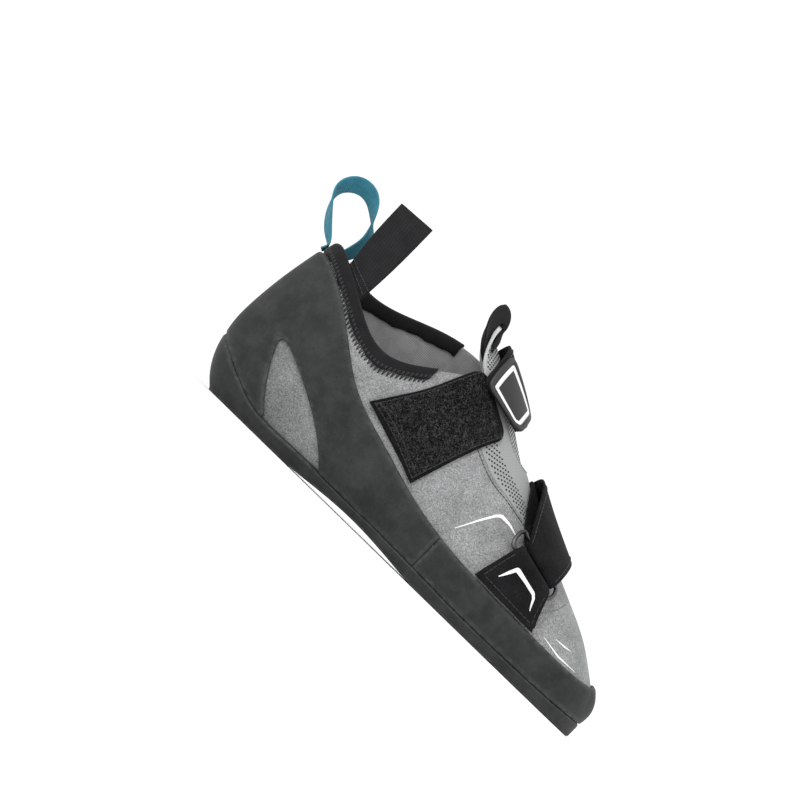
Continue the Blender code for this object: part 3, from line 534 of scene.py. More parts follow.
def moulded_material(name, dark, light, rough_low, rough_high):
    """Moulded soft plastic with a fine spark-eroded texture."""
    made, tree, shader = blank(name, Specular_IOR_Level=0.45)
    where = space(tree)
    grain = noise(tree, where, 2000.0, 2.0)
    smear = noise(tree, where, 160.0, 4.0, 0.65)
    edge = attribute(tree, "edge").outputs["Fac"]
    base = ramp(tree, smear, (0.3, dark), (0.7, light))
    colour = blend(tree, reckon(tree, "MULTIPLY", edge, 0.5), base, scaled(light, 1.8))
    join(tree, shader, Base_Color=colour, Roughness=spread(tree, smear, rough_low, rough_high),
         Normal=bump(tree, grain, 0.00008, 0.5))
    return made


def print_material(name, dark, light):
    """A thin welded film with small rubbed spots."""
    made, tree, shader = blank(name, Specular_IOR_Level=0.4)
    where = space(tree)
    rub = noise(tree, where, 420.0, 5.0, 0.7)
    colour = ramp(tree, rub, (0.28, dark), (0.45, light))
    join(tree, shader, Base_Color=colour, Roughness=spread(tree, rub, 0.45, 0.7),
         Normal=bump(tree, noise(tree, where, 1500.0), 0.00008, 0.4))
    return made


def thread_material(name, dark, light):
    """Twisted thread."""
    made, tree, shader = blank(name, Specular_IOR_Level=0.4, Sheen_Weight=0.2, Sheen_Roughness=0.4)
    where = space(tree)
    inputs = {"Vector": where, "Scale": 900.0, "Distortion": 2.0, "Detail": 2.0}
    twist = put(tree, "ShaderNodeTexWave", inputs, bands_direction="DIAGONAL").outputs["Fac"]
    colour = ramp(tree, twist, (0.2, dark), (0.8, light))
    join(tree, shader, Base_Color=colour, Roughness=spread(tree, twist, 0.55, 0.8),
         Normal=bump(tree, twist, 0.0001, 0.5))
    return made


def metal_material(name, dark, light):
    """Blackened wire, drawn lengthways and rubbed a little brighter in places."""
    made, tree, shader = blank(name, Metallic=1.0)
    where = space(tree)
    drawn = noise(tree, where, 700.0, 4.0, 0.6)
    rubbed = noise(tree, where, 90.0, 4.0, 0.65)
    colour = ramp(tree, rubbed, (0.35, dark), (0.75, light))
    join(tree, shader, Base_Color=colour, Roughness=spread(tree, drawn, 0.28, 0.48),
         Normal=bump(tree, drawn, 0.00006, 0.4))
    return made


def floor_material(name, dark, light):
    """A plain pale studio floor."""
    made, tree, shader = blank(name, Specular_IOR_Level=0.1)
    where = space(tree)
    fine = noise(tree, where, 6.0, 3.0)
    colour = ramp(tree, fine, (0.3, dark), (0.7, light))
    join(tree, shader, Base_Color=colour, Roughness=spread(tree, fine, 0.8, 0.95))
    return made


RUBBER = rubber_material("rand_rubber", (0.011, 0.0127, 0.0122), (0.022, 0.0243, 0.0234), 0.55, 0.78)
SOLE_RUBBER = rubber_material("sole_rubber", (0.010, 0.0115, 0.011), (0.019, 0.0212, 0.0203), 0.52, 0.74)
SUEDE = suede_material("grey_suede", (0.185, 0.19, 0.19), (0.275, 0.28, 0.28), 0.12, (0.29, 0.297, 0.297))
LINING = woven_material("lining_cloth", (0.19, 0.19, 0.19), (0.32, 0.32, 0.32), 0.9, 0.9)
KNIT = woven_material("tongue_knit", (0.36, 0.37, 0.37), (0.50, 0.51, 0.51), 1.1, 0.8, 0.88, 0.05)
BOARD = woven_material("insole_cloth", (0.13, 0.125, 0.115), (0.22, 0.21, 0.195), 1.2, 1.2)
BLACK_TAPE = woven_material("black_tape", (0.006, 0.006, 0.0065), (0.013, 0.013, 0.014), 1.1, 0.9, 0.85, 0.04)
BLACK_WEBBING = woven_material("black_webbing", (0.007, 0.007, 0.0075), (0.016, 0.016, 0.017),
                               1.4, 1.6, 0.78, 0.05)
BLACK_SUEDE = suede_material("black_suede", (0.006, 0.006, 0.0064), (0.013, 0.013, 0.014), 0.03)
BLACK_PAD = woven_material("black_padded_cloth", (0.008, 0.008, 0.0085), (0.016, 0.016, 0.017),
                           0.8, 0.8, 0.85, 0.03)
FLEECE = fleece_material("loop_fleece", (0.004, 0.004, 0.0045), (0.014, 0.014, 0.015))
FIBRE = fleece_material("loop_fibre", (0.005, 0.005, 0.0054), (0.14, 0.143, 0.143))
MOULDED = moulded_material("moulded_black", (0.008, 0.008, 0.0085), (0.016, 0.016, 0.017), 0.4, 0.58)
WHITE_FILM = print_material("white_film", (0.60, 0.60, 0.59), (0.80, 0.80, 0.79))
BLACK_THREAD = thread_material("black_thread", (0.006, 0.006, 0.0065), (0.030, 0.030, 0.031))
GREY_THREAD = thread_material("grey_thread", (0.10, 0.10, 0.10), (0.24, 0.24, 0.24))
WIRE_METAL = metal_material("blackened_wire", (0.05, 0.05, 0.052), (0.16, 0.16, 0.165))
TEAL = woven_material("teal_ribbon", (0.020, 0.108, 0.155), (0.042, 0.185, 0.245), 0.9, 0.9, 0.75, 0.04)
# Painted shade: dark discs stand in for the holes, coloured as the shade inside them
HOLE_SHADE = print_material("knit_hole_painted_shade", (0.006, 0.006, 0.006), (0.014, 0.014, 0.014))


# Mesh steps along the shoe, in millimetres
SUEDE_STEP = 1.7
RUBBER_STEP = 1.3
BOARD_STEP = 2.0


# Mesh helpers
def add_mesh(name, points, faces, materials, slots=None, weave=None, edge=None, orient=False):
    """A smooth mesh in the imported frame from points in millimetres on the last, riding on the shoe."""
    mesh = bpy.data.meshes.new(name)
    placed = (np.asarray(points, float) + SHIFT) * MM
    mesh.from_pydata(placed.tolist(), [], faces)
    mesh.polygons.foreach_set("use_smooth", [True] * len(mesh.polygons))
    for material in materials:
        mesh.materials.append(material)
    if slots is not None:
        mesh.polygons.foreach_set("material_index", slots)
    if weave is not None:
        mesh.attributes.new("weave", "FLOAT_VECTOR", "POINT").data.foreach_set("vector", np.ravel(weave))
    if edge is not None:
        mesh.attributes.new("edge", "FLOAT", "POINT").data.foreach_set("value", np.ravel(edge))
    if orient:
        build = bmesh.new()
        build.from_mesh(mesh)
        bmesh.ops.recalc_face_normals(build, faces=build.faces)
        build.to_mesh(mesh)
        build.free()
    mesh.update()
    piece = bpy.data.objects.new(name, mesh)
    bpy.context.scene.collection.objects.link(piece)
    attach(piece, "root")
    return piece


def even_stations(first, last, step):
    """Stations from first to last, about a step in millimetres apart along the side of the foot."""
    fine = np.linspace(first, last, 500)
    line = on_last(fine, np.full(500, 0.4))
    run = run_of(line)
    count = int(round(run[-1] / step)) + 1
    stations = np.interp(np.linspace(0.0, run[-1], count), run, fine)
    stations[0], stations[-1] = first, last
    return stations


def patch(stations, girths, outside):
    """Spots and face loops of the last where outside(station, girth) is below zero, cut along zero."""
    last = len(girths) - 1
    grid_s, grid_g = np.meshgrid(stations, girths, indexing="ij")
    value = outside(grid_s, grid_g)
    within = value < 0.0
    corners, crossings, spots, cuts = {}, {}, [], []
    shared = [station in (0.0, float(TIP)) for station in stations]

    def folded(spot):
        """Both sides share the vertices of the heel line and of the toe line."""
        return (spot[0], min(spot[1], last - spot[1])) if shared[spot[0]] else spot

    def corner(spot):
        key = folded(spot)
        if key not in corners:
            corners[key] = len(spots)
            spots.append((stations[key[0]], girths[key[1]]))
        return corners[key]

    def crossing(one, two):
        key = frozenset((folded(one), folded(two)))
        if key not in crossings:
            inner, outer = (one, two) if within[one] else (two, one)
            crossings[key] = len(spots)
            spots.append((0.0, 0.0))
            cuts.append((len(spots) - 1, inner, outer))
        return crossings[key]

    loops = []
    for i in range(len(stations) - 1):
        for j in range(last):
            ring = [(i, j), (i + 1, j), (i + 1, j + 1), (i, j + 1)]
            kept = [within[spot] for spot in ring]
            if not any(kept):
                continue
            loop = []
            for k in range(4):
                one, two = ring[k], ring[(k + 1) % 4]
                if kept[k]:
                    loop.append(corner(one))
                if kept[k] != kept[(k + 1) % 4]:
                    loop.append(crossing(one, two))
            loop = [spot for k, spot in enumerate(loop) if spot != loop[k - 1]]
            if len(loop) > 2:
                loops.append(loop)
    spots = np.array(spots)
    if cuts:
        inner = np.array([(stations[one[0]], girths[one[1]]) for _, one, _ in cuts])
        outer = np.array([(stations[two[0]], girths[two[1]]) for _, _, two in cuts])
        step = outer - inner
        share = halved(np.zeros(len(cuts)), np.ones(len(cuts)),
                       lambda part: outside(*(inner + step * part[:, None]).T) < 0.0, 18)
        spots[[index for index, _, _ in cuts]] = inner + step * np.clip(share, 0.02, 0.98)[:, None]
    return spots, loops


def add_wall(name, spots, loops, outer_points, inner_points, materials, edge):
    """A closed wall between two layers of the same patch; materials are outer, inner and edge."""
    count = len(spots)
    seen = set()
    for loop in loops:
        seen.update(zip(loop, loop[1:] + loop[:1]))
    faces = [list(loop) for loop in loops]
    faces += [[spot + count for spot in reversed(loop)] for loop in loops]
    rims = [[two, one, one + count, two + count] for one, two in seen if (two, one) not in seen]
    slots = [0] * len(loops) + [1] * len(loops) + [2] * len(rims)
    points = np.concatenate([outer_points, inner_points])
    weave = np.stack([points[:, 0], points[:, 2], points[:, 1]], -1)
    return add_mesh(name, points, faces + rims, materials, slots, weave, np.concatenate([edge, edge]))


def add_loft(name, rings, materials, weave=None, edge=None, closed=False, slots=None):
    """A closed solid through rings of points that have the same count."""
    rings = np.asarray(rings, float)
    number, count = rings.shape[:2]
    i = np.arange(number if closed else number - 1)[:, None]
    j = np.arange(count)[None, :]
    after, beside = (i + 1) % number, (j + 1) % count
    quads = np.stack([i * count + j, i * count + beside, after * count + beside, after * count + j], -1)
    faces = quads.reshape(-1, 4).tolist()
    if not closed:
        faces.append(list(range(count)))
        faces.append([(number - 1) * count + j for j in reversed(range(count))])
    if slots is not None:
        slots = np.tile(slots, len(i)).tolist() + ([] if closed else [0, 0])
    return add_mesh(name, rings.reshape(-1, 3), faces, materials, slots, weave, edge, orient=True)


def eased(count):
    """Shares from 0 to 1, closer together at both ends."""
    return 0.5 - 0.5 * np.cos(np.linspace(0.0, math.pi, count))


def round_share(count, power=6.0):
    """Places across a strap, closer at its edges, and the share of its half thickness there."""
    share = eased(count)
    return share, (1.0 - np.abs(2.0 * share - 1.0) ** power) ** (1.0 / power)


def both_faces(high, low):
    """Rings round a strip, from its upper and its lower face."""
    return np.concatenate([high, low[:, -2:0:-1]], 1)


def weave_of(rings):
    """Distances along and round a lofted piece, for its woven material."""
    across = run_of(rings.transpose(1, 0, 2)).T
    return np.stack([run_of(rings), across, np.zeros(across.shape)], -1)


def circle(beside, up, sides):
    """Unit circles in the planes of two directions."""
    angle = np.linspace(0.0, 2.0 * math.pi, sides, endpoint=False)[:, None]
    return beside[..., None, :] * np.cos(angle) + up[..., None, :] * np.sin(angle)


def tubes(lines, facing, radius, sides):
    """Points and faces of many capped tubes; lines is (tube, point, 3), facing is off the surface."""
    number, length = lines.shape[:2]
    run = unit(np.gradient(lines, axis=1))
    beside = unit(np.cross(run, np.broadcast_to(facing, lines.shape)))
    rim = circle(beside, np.cross(beside, run), sides) * radius
    points = (lines[:, :, None] + rim).reshape(-1, 3)
    start = (np.arange(number) * length * sides)[:, None, None]
    low = start + np.arange(length - 1)[None, :, None] * sides
    j = np.arange(sides)
    beside_j = (j + 1) % sides
    quads = np.stack([low + j, low + sides + j, low + sides + beside_j, low + beside_j], -1)
    first = (start[:, 0] + j).tolist()
    end = (start[:, 0] + (length - 1) * sides + j[::-1]).tolist()
    return points, quads.reshape(-1, 4).tolist() + first + end


Stitch = namedtuple("Stitch", "pitch length radius material")
STRAP_STITCH = Stitch(2.6, 2.08, 0.26, BLACK_THREAD)
FOLD_STITCH = Stitch(2.4, 1.872, 0.22, BLACK_THREAD)
TONGUE_TAB_STITCH = Stitch(2.6, 2.0, 0.3, BLACK_THREAD)
PULL_TAB_STITCH = Stitch(2.2, 1.8, 0.28, BLACK_THREAD)
INLAY_STITCH = Stitch(2.0, 1.6, 0.22, BLACK_THREAD)
THROAT_STITCH = Stitch(2.0, 1.6, 0.2, GREY_THREAD)
TOE_STITCH = Stitch(2.2, 1.76, 0.2, GREY_THREAD)


def add_stitches(name, line, facing, stitch):
    """Lock stitches along a line of points: each a short thread that rises and dips into the surface."""
    run = run_of(line)
    number = max(1, int(run[-1] / stitch.pitch))
    middle = (np.arange(number) + 0.5) * run[-1] / number
    offset = np.linspace(-0.5, 0.5, 6)
    spots = middle[:, None] + offset * stitch.length
    lines = np.stack([np.interp(spots, run, line[:, k]) for k in range(3)], -1)
    faces_up = np.stack([np.interp(spots, run, facing[:, k]) for k in range(3)], -1)
    lift = stitch.radius * (0.55 - 5.2 * np.abs(offset) ** 2.4)
    points, faces = tubes(lines + faces_up * lift[:, None], faces_up, stitch.radius, 6)
    return add_mesh(name, points, faces, [stitch.material])


def add_fuzz(name, roots, facing, height, width, radius, seed):
    """Fine open loops of fibre standing on a surface."""
    chance = np.random.default_rng(seed)
    number = len(roots)
    lean = unit(chance.normal(size=(number, 3)))
    beside = unit(np.cross(facing, lean))
    tall = height * chance.uniform(0.55, 1.0, (number, 1))
    wide = width * chance.uniform(0.5, 1.0, (number, 1))
    tilt = np.cross(facing, beside) * chance.uniform(-0.5, 0.5, (number, 1)) * tall
    shape = [(-0.5, -0.15, 0.0), (-0.55, 0.6, 0.5), (0.0, 1.0, 1.0), (0.55, 0.6, 0.6), (0.45, -0.1, 0.2)]
    lines = np.stack([roots + beside * wide * a + facing * tall * b + tilt * c for a, b, c in shape], 1)
    points, faces = tubes(lines, facing[:, None, :], radius, 3)
    return add_mesh(name, points, faces, [FIBRE])


def height_of(station, girth):
    return on_last(loop_place(station, girth), 1.0 - np.abs(girth))[..., 2]


def rounded(distance, reach):
    """From 0 at an edge up to 1 a reach away, along a quarter round."""
    t = np.clip(distance / reach, 0.0, 1.0)
    return np.sqrt(1.0 - (1.0 - t) ** 2)


# Creases of the suede: a side, a line of x and z over it, a depth and a half width; below zero is a ridge
Crease = namedtuple("Crease", "side line depth width")
CREASES = [
    Crease(-1, [(118, 60), (126, 50), (137, 42), (150, 36)], 0.55, 4.0),
    Crease(-1, [(133, 72), (140, 60), (150, 50), (158, 45)], 0.50, 4.5),
    Crease(-1, [(128, 66), (134, 54), (144, 45), (154, 40)], -0.35, 4.0),
    Crease(-1, [(66, 60), (76, 50), (86, 42), (98, 37)], 0.45, 3.5),
    Crease(-1, [(52, 64), (62, 56), (70, 51)], -0.40, 4.0),
    Crease(-1, [(195, 38), (203, 33), (212, 29)], 0.35, 4.0),
    Crease(-1, [(190, 47), (199, 45), (208, 42)], 0.30, 3.0),
    Crease(1, [(120, 70), (132, 58), (146, 48)], 0.55, 4.5),
    Crease(1, [(128, 76), (142, 62), (156, 50)], -0.35, 4.0),
    Crease(1, [(60, 78), (74, 66), (88, 55)], 0.50, 5.0),
    Crease(1, [(196, 42), (205, 37), (214, 32)], 0.35, 4.0),
]


def crease_depth(points):
    """How far each point of the suede sinks or stands, in millimetres."""
    total = np.zeros(len(points))
    shares = even_shares(24)
    for crease in CREASES:
        near = np.full(len(points), np.inf)
        place = np.zeros(len(points))
        for share, (x, z) in zip(shares, curve_at(crease.line, shares)):
            far = np.hypot(points[:, 0] - x, points[:, 2] - z)
            place = np.where(far < near, share, place)
            near = np.minimum(near, far)
        fade = np.sin(math.pi * np.clip(place, 0.06, 0.94)) ** 0.7
        trough = np.exp(-(near / crease.width) ** 2) - 0.35 * np.exp(-((near / crease.width - 1.9) ** 2))
        total -= np.where(points[:, 1] * crease.side > 0.0, crease.depth * fade * trough, 0.0)
    return total


# How far the upper and the rands wander off their line
UPPER_DRIFT = 0.12
RAND_DRIFT = 0.1


def drift(points, amount):
    """Slow unevenness of hand-lasted pieces."""
    x, y, z = points[:, 0], points[:, 1], points[:, 2]
    sway = np.sin(0.11 * x + 0.07 * z) + np.sin(0.23 * z - 0.09 * x + 0.05 * y) + np.sin(0.31 * x - 0.17 * y)
    return amount * sway / 3.0


def suede_lift(points):
    """How far the suede stands off the last: its creases and its unevenness."""
    return crease_depth(points) + drift(points, UPPER_DRIFT)


# Upper
def past_the_edge(station, girth):
    return height_of(station, girth) - column(loop_place(station, girth), "edge_z")


def side_girths(count):
    share = even_shares(count)
    return np.concatenate([-(1.0 - share), (1.0 - share[:-1])[::-1]])


# The knit inlay beside the throat: its edge against the suede, as station and girth, alike on both sides
INLAY_EDGE = [(4.7, 0.40), (5.1, 0.415), (5.48, 0.424), (5.88, 0.432), (6.38, 0.396),
              (6.66, 0.371), (7.0, 0.345), (7.4, 0.30), (7.7, 0.2)]
INLAY_SUNK = 0.45


def inlay_edge(station):
    """The suede's edge over the knit inlay as a girth, with its corners eased."""
    places, reach = np.array(INLAY_EDGE).T
    return np.mean([np.interp(station + step, places, reach) for step in np.linspace(-0.35, 0.35, 9)], axis=0)


def into_inlay(station, girth):
    """Distance from the suede's edge into the knit inlay, in millimetres."""
    ends = np.minimum(station - INLAY_EDGE[0][0], INLAY_EDGE[-1][0] - station) * STATION_MM
    return np.minimum((inlay_edge(station) - np.abs(girth)) * GIRTH_MM, ends)


# The suede's cut edge: how far in it rounds over, how deep, and how far in it is worn
EDGE_ROUND = 1.4
EDGE_FALL = 0.7
EDGE_WORN = 2.2
# How wide the step down to the inlay is, and the span that its attribute covers
INLAY_STEP = 2.0
INLAY_SPAN = 8.0


def add_upper():
    spots, loops = patch(even_stations(0.0, float(TIP), SUEDE_STEP), side_girths(66), past_the_edge)
    station, girth = spots[:, 0], spots[:, 1]
    inside = -past_the_edge(station, girth)
    surface = skin(station, girth)
    inlay = into_inlay(station, girth)
    lift = suede_lift(surface) - EDGE_FALL * (1.0 - rounded(inside, EDGE_ROUND))
    lift -= INLAY_SUNK * np.clip(0.5 + inlay / INLAY_STEP, 0.0, 1.0)
    outer = skin(station, girth, lift)
    inner = skin(station, girth, -WALL)
    edge = np.clip(1.0 - np.minimum(inside, np.abs(inlay)) / EDGE_WORN, 0.0, 1.0)
    piece = add_wall("suede_upper", spots, loops, outer, inner, [SUEDE, LINING, SUEDE], edge)
    share = np.clip(0.5 + inlay / INLAY_SPAN, 0.0, 1.0)
    piece.data.attributes.new("inlay", "FLOAT", "POINT").data.foreach_set("value", np.tile(share, 2))
    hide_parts("upper")


# Rands
def outside_band(station, girth):
    place = loop_place(station, girth)
    z = height_of(station, girth)
    return np.maximum(column(place, "seam_z") + GAP - z, z - column(place, "rand_z"))


def inside_window(station, girth):
    """Above zero inside the heel rand's window."""
    point = on_last(loop_place(station, girth), 1.0 - np.abs(girth))
    x, rise = point[..., 0], point[..., 2] - WINDOW_FOOT
    rear, front = (edge[0] - edge[1] * rise - edge[2] * rise**2 for edge in (WINDOW_REAR, WINDOW_FRONT))
    sides = (x - rear, front - x, WINDOW_TOP - point[..., 2])
    return -WINDOW_SOFT * np.log(sum(np.exp(-side / WINDOW_SOFT) for side in sides))


def outside_heel_rand(station, girth):
    return np.maximum(outside_band(station, girth), inside_window(station, girth))


# The rand's edges: their share of its thickness and how far in they round, free and at the sole's seam
FREE_EDGE = 0.45
FREE_ROUND = 1.5
SEAM_EDGE = 0.85
SEAM_ROUND = 0.6
RAND_WORN = 2.4


def add_rand(name, node, first, last, outside, girth_count):
    spots, loops = patch(even_stations(first, last, RUBBER_STEP), side_girths(girth_count), outside)
    station, girth = spots.T
    inside = np.minimum(-outside(station, girth), np.abs(station - RAND_JOIN) * STATION_MM)
    over_seam = height_of(station, girth) - column(loop_place(station, girth), "seam_z") - GAP
    thinned = FREE_EDGE + (1.0 - FREE_EDGE) * rounded(inside, FREE_ROUND)
    full = SEAM_EDGE + (1.0 - SEAM_EDGE) * rounded(inside, SEAM_ROUND)
    thick = RAND * np.where(over_seam <= inside + 0.01, full, thinned)
    outer = skin(station, girth, GAP + thick + drift(skin(station, girth), RAND_DRIFT))
    inner = skin(station, girth, GAP)
    edge = np.clip(1.0 - inside / RAND_WORN, 0.0, 1.0)
    piece = add_wall(name, spots, loops, outer, inner, [RUBBER, RUBBER, RUBBER], edge)
    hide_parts(node)


# Outsole: the step under its top edge, its tread edge's height and inset, and where its wall bulges
SOLE_LIP = 0.8
TREAD_RISE = 1.1
TREAD_IN = 0.6
BULGE_OUT = 0.18
BULGE_UP = 0.42


def sole_side(stations, side):
    """The sole's lining, its top edge and wall, and its tread edge on one side, for each station."""
    whole = np.full(len(stations), side)
    place = loop_place(stations, whole)
    seam = q_at_height(place, column(place, "seam_z"))
    drop = even_shares(8)
    lining = skin(stations[:, None], side * (1.0 - seam[:, None] * (1.0 - drop)), 1.5 * GAP)
    top = skin(stations, side * (1.0 - seam), EDGE_STEP)
    step = skin(stations, side * (1.0 - seam), EDGE_STEP - SOLE_LIP)
    foot = skin(stations, whole)
    under = arch(foot[:, 0], 1.0 if side > 0 else 0.0)
    tread_edge = foot + (top - foot) * column(place, "footprint")[:, None]
    tread_edge[:, 2] = under + TREAD_RISE
    bulge = top + (tread_edge - top) * BULGE_OUT
    bulge[:, 2] = under + (top[:, 2] - under) * BULGE_UP
    t = np.linspace(0.07, 1.0, 14)[None, :, None]
    wall = bow(top[:, None], bulge[:, None], tread_edge[:, None], t)
    inward = np.where((stations > 0.5) & (stations < TIP - 0.5), side * TREAD_IN, 0.0)
    tread = tread_edge + (foot - tread_edge) * 0.25
    tread[:, 1] -= inward
    tread[:, 2] = under
    turn = tread_edge + (tread - tread_edge) * 0.2
    turn[:, 2] = under + 0.12
    s = even_shares(6)[None, 1:, None]
    corner = bow(tread_edge[:, None], turn[:, None], tread[:, None], s)
    return lining, np.concatenate([step[:, None], wall, corner], 1)


def add_outsole():
    stations = even_stations(0.0, float(TIP), RUBBER_STEP)
    outer_lining, outer_wall = sole_side(stations, -1.0)
    inner_lining, inner_wall = sole_side(stations, 1.0)
    share = even_shares(22)[None, 1:-1, None]
    under = outer_wall[:, -1:] + (inner_wall[:, -1:] - outer_wall[:, -1:]) * share
    under[:, :, 2] = arch(under[:, :, 0], share[:, :, 0])
    bed = inner_lining[:, -1:] + (outer_lining[:, -1:] - inner_lining[:, -1:]) * share[:, ::4]
    rings = np.concatenate(
        [outer_wall, under, inner_wall[:, ::-1], inner_lining, bed, outer_lining[:, ::-1]], 1)
    edge = np.zeros(rings.shape[:2])
    walls = outer_wall.shape[1]
    far = np.abs(np.arange(walls) - (walls - 4.0))
    worn = np.clip(1.0 - far / 3.0, 0.0, 1.0) + np.clip(1.0 - np.arange(walls) / 2.0, 0.0, 1.0)
    edge[:, :walls] = worn
    edge[:, walls + under.shape[1]:2 * walls + under.shape[1]] = worn[::-1]
    piece = add_loft("sole_rubber_shell", rings, [SOLE_RUBBER], None, edge)
    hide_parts("outsole")


# Insole
INSOLE_IN = 3.3


def add_insole():
    stations = even_stations(0.0, float(TIP), BOARD_STEP)
    share, thick = round_share(30, 8.0)
    outer_edge, inner_edge = skin(stations, -1.0, -INSOLE_IN), skin(stations, 1.0, -INSOLE_IN)
    outer_bed, inner_bed = skin(stations, -1.0), skin(stations, 1.0)
    face = outer_edge[:, None] + (inner_edge - outer_edge)[:, None] * share[None, :, None]
    width = np.maximum(inner_bed[:, 1] - outer_bed[:, 1], 1.0)[:, None]
    slope = (face[:, :, 1] - outer_bed[:, None, 1]) / width
    middle = outer_bed[:, None, 2] + (inner_bed - outer_bed)[:, None, 2] * slope + 0.5 * GAP + 0.5 * INSOLE
    high, low = face.copy(), face.copy()
    high[:, :, 2] = middle + 0.5 * INSOLE * thick
    low[:, :, 2] = middle - 0.5 * INSOLE * thick
    rings = both_faces(high, low)
    piece = add_loft("insole_board", rings, [BOARD], rings)
    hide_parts("insole")


# Tongue
TongueRow = namedtuple("TongueRow", "station reach")
TONGUE_ROWS = [TongueRow(3.78, 0.20), TongueRow(4.0, 0.22), TongueRow(4.2, 0.24), TongueRow(4.5, 0.26),
               TongueRow(5.0, 0.27), TongueRow(5.6, 0.25), TongueRow(6.2, 0.23), TongueRow(6.9, 0.18)]
TONGUE_OFF = -WALL - 2.0 * GAP
# Where the curl starts, its run and its turn for each station past that, and the turn round its own length
CURL_FROM = 4.4
CURL_MM = 25.0
CURL_TURN = math.radians(90.0)
TOP_TURN = math.radians(16.0)


def curl_axes():
    """The way back along the ridge where the curl starts, and the way up from it."""
    back = unit(skin(CURL_FROM, 0.0) - skin(CURL_FROM + 0.1, 0.0))
    return back, np.array([back[2], 0.0, -back[0]])


def tongue_curl(station, girth, off):
    """Points off the tongue: on the last, and past the curl's start on an arc that rises off the ridge."""
    station, girth, off = arrays(station, girth, off)
    held = np.maximum(station, CURL_FROM)
    root = skin(held, girth)
    normal = skin_normal(held, girth)
    back, rise = curl_axes()
    turn = (CURL_TURN * (held - station))[..., None]
    radius = CURL_MM / CURL_TURN
    along_back, along_rise = (normal @ back)[..., None], (normal @ rise)[..., None]
    across = normal - along_back * back - along_rise * rise
    turned = (across + along_rise * (rise * np.cos(turn) - back * np.sin(turn))
              + along_back * (back * np.cos(turn) + rise * np.sin(turn)))
    return root + radius * (np.sin(turn) * back + (1.0 - np.cos(turn)) * rise) + turned * off[..., None]


def tongue_skin(station, girth, off):
    """Points off the curled tongue, whose top also turns round its own length, inner side to the rear."""
    station, girth, off = arrays(station, girth, off)
    back, rise = curl_axes()
    past = np.maximum(CURL_FROM - station, 0.0)
    length = back * np.cos(CURL_TURN * past)[..., None] + rise * np.sin(CURL_TURN * past)[..., None]
    middle = tongue_curl(station, np.zeros_like(station), np.full_like(station, TONGUE_OFF))
    arm = tongue_curl(station, girth, off) - middle
    turn = (TOP_TURN * past / (CURL_FROM - TONGUE_ROWS[0].station))[..., None]
    held = length * np.sum(length * arm, axis=-1, keepdims=True)
    return middle + held + (arm - held) * np.cos(turn) + np.cross(length, arm) * np.sin(turn)


def tongue_normal(station, girth):
    return unit(tongue_skin(station, girth, 1.0) - tongue_skin(station, girth, 0.0))


def add_tongue():
    rows = curve_at(TONGUE_ROWS, even_shares(110))
    share, thick = round_share(48, 7.0)
    girth = rows[:, 1:2] * (2.0 * share - 1.0)
    station = rows[:, :1]
    middle = TONGUE_OFF - 0.5 * TONGUE
    rings = both_faces(tongue_skin(station, girth, middle + 0.5 * TONGUE * thick),
                       tongue_skin(station, girth, middle - 0.5 * TONGUE * thick))
    piece = add_loft("knit_tongue", rings, [KNIT], weave_of(rings))
    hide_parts("tongue")


HOLE_SIDES = 8
HOLE_DEEP = 0.25
# Holes: first and last station, pitch along in stations and across in girths, rows, margin and radius
Holes = namedtuple("Holes", "first last along across rows margin radius")
KNIT_HOLES = Holes(3.9, 6.75, 0.062, 0.0185, 14, 0.02, 0.52)
INLAY_HOLES = Holes(4.75, 7.3, 0.066, 0.0205, 4, 0.02, 0.5)
# The smooth middle of the tongue's face: the station it starts at and half its width as a girth
SMOOTH_FROM = 4.75
SMOOTH_HALF = 0.055


def add_holes(name, centre, facing, radius):
    """Small dark discs set into a surface, painted as the shade inside holes."""
    forward = unit(np.cross(facing, np.array([0.0, 1.0, 0.0])))
    rim = centre[:, None] + radius * circle(forward, np.cross(forward, facing), HOLE_SIDES)
    low = rim - HOLE_DEEP * facing[:, None]
    points = np.concatenate([rim.reshape(-1, 3), low.reshape(-1, 3)])
    faces = []
    for i in range(len(centre)):
        top = [i * HOLE_SIDES + k for k in range(HOLE_SIDES)]
        base = [len(centre) * HOLE_SIDES + spot for spot in top]
        faces.append(top)
        faces.append(base[::-1])
        for k in range(HOLE_SIDES):
            after = (k + 1) % HOLE_SIDES
            faces.append([top[k], base[k], base[after], top[after]])
    piece = add_mesh(name, points, faces, [HOLE_SHADE], orient=True)


def add_knit_holes():
    """Holes of the knit in a staggered pattern, beside the smooth middle of the tongue's face, drawn as dark
    discs of painted shade.
    """
    places, reaches = np.array(TONGUE_ROWS).T
    spots = []
    for k, station in enumerate(np.arange(KNIT_HOLES.first, KNIT_HOLES.last, KNIT_HOLES.along)):
        reach = float(np.interp(station, places, reaches))
        smooth = SMOOTH_HALF if station > SMOOTH_FROM else -1.0
        for m in range(-KNIT_HOLES.rows, KNIT_HOLES.rows + 1):
            girth = (m + 0.5 * (k % 2)) * KNIT_HOLES.across
            if smooth < abs(girth) < reach - KNIT_HOLES.margin:
                spots.append((station, girth))
    station, girth = np.array(spots).T
    add_holes("knit_tongue_holes", tongue_skin(station, girth, TONGUE_OFF + 0.06),
              tongue_normal(station, girth), KNIT_HOLES.radius)


def add_inlay_holes():
    """Rows of small punched holes along the suede's side of the knit inlay, drawn as dark discs of painted
    shade.
    """
    for side, name in ((-1.0, "inlay_holes_outer"), (1.0, "inlay_holes_inner")):
        spots = []
        for k, station in enumerate(np.arange(INLAY_HOLES.first, INLAY_HOLES.last, INLAY_HOLES.along)):
            edge = float(inlay_edge(station))
            for m in range(INLAY_HOLES.rows):
                inset = INLAY_HOLES.margin + (m + 0.5 * (k % 2)) * INLAY_HOLES.across
                spots.append((station, side * (edge - inset)))
        station, girth = np.array(spots).T
        clear = -past_the_edge(station, girth) > 2.5
        station, girth = station[clear], girth[clear]
        lift = 0.12 - INLAY_SUNK + suede_lift(skin(station, girth))
        add_holes(name, skin(station, girth, lift), skin_normal(station, girth),
                  INLAY_HOLES.radius)


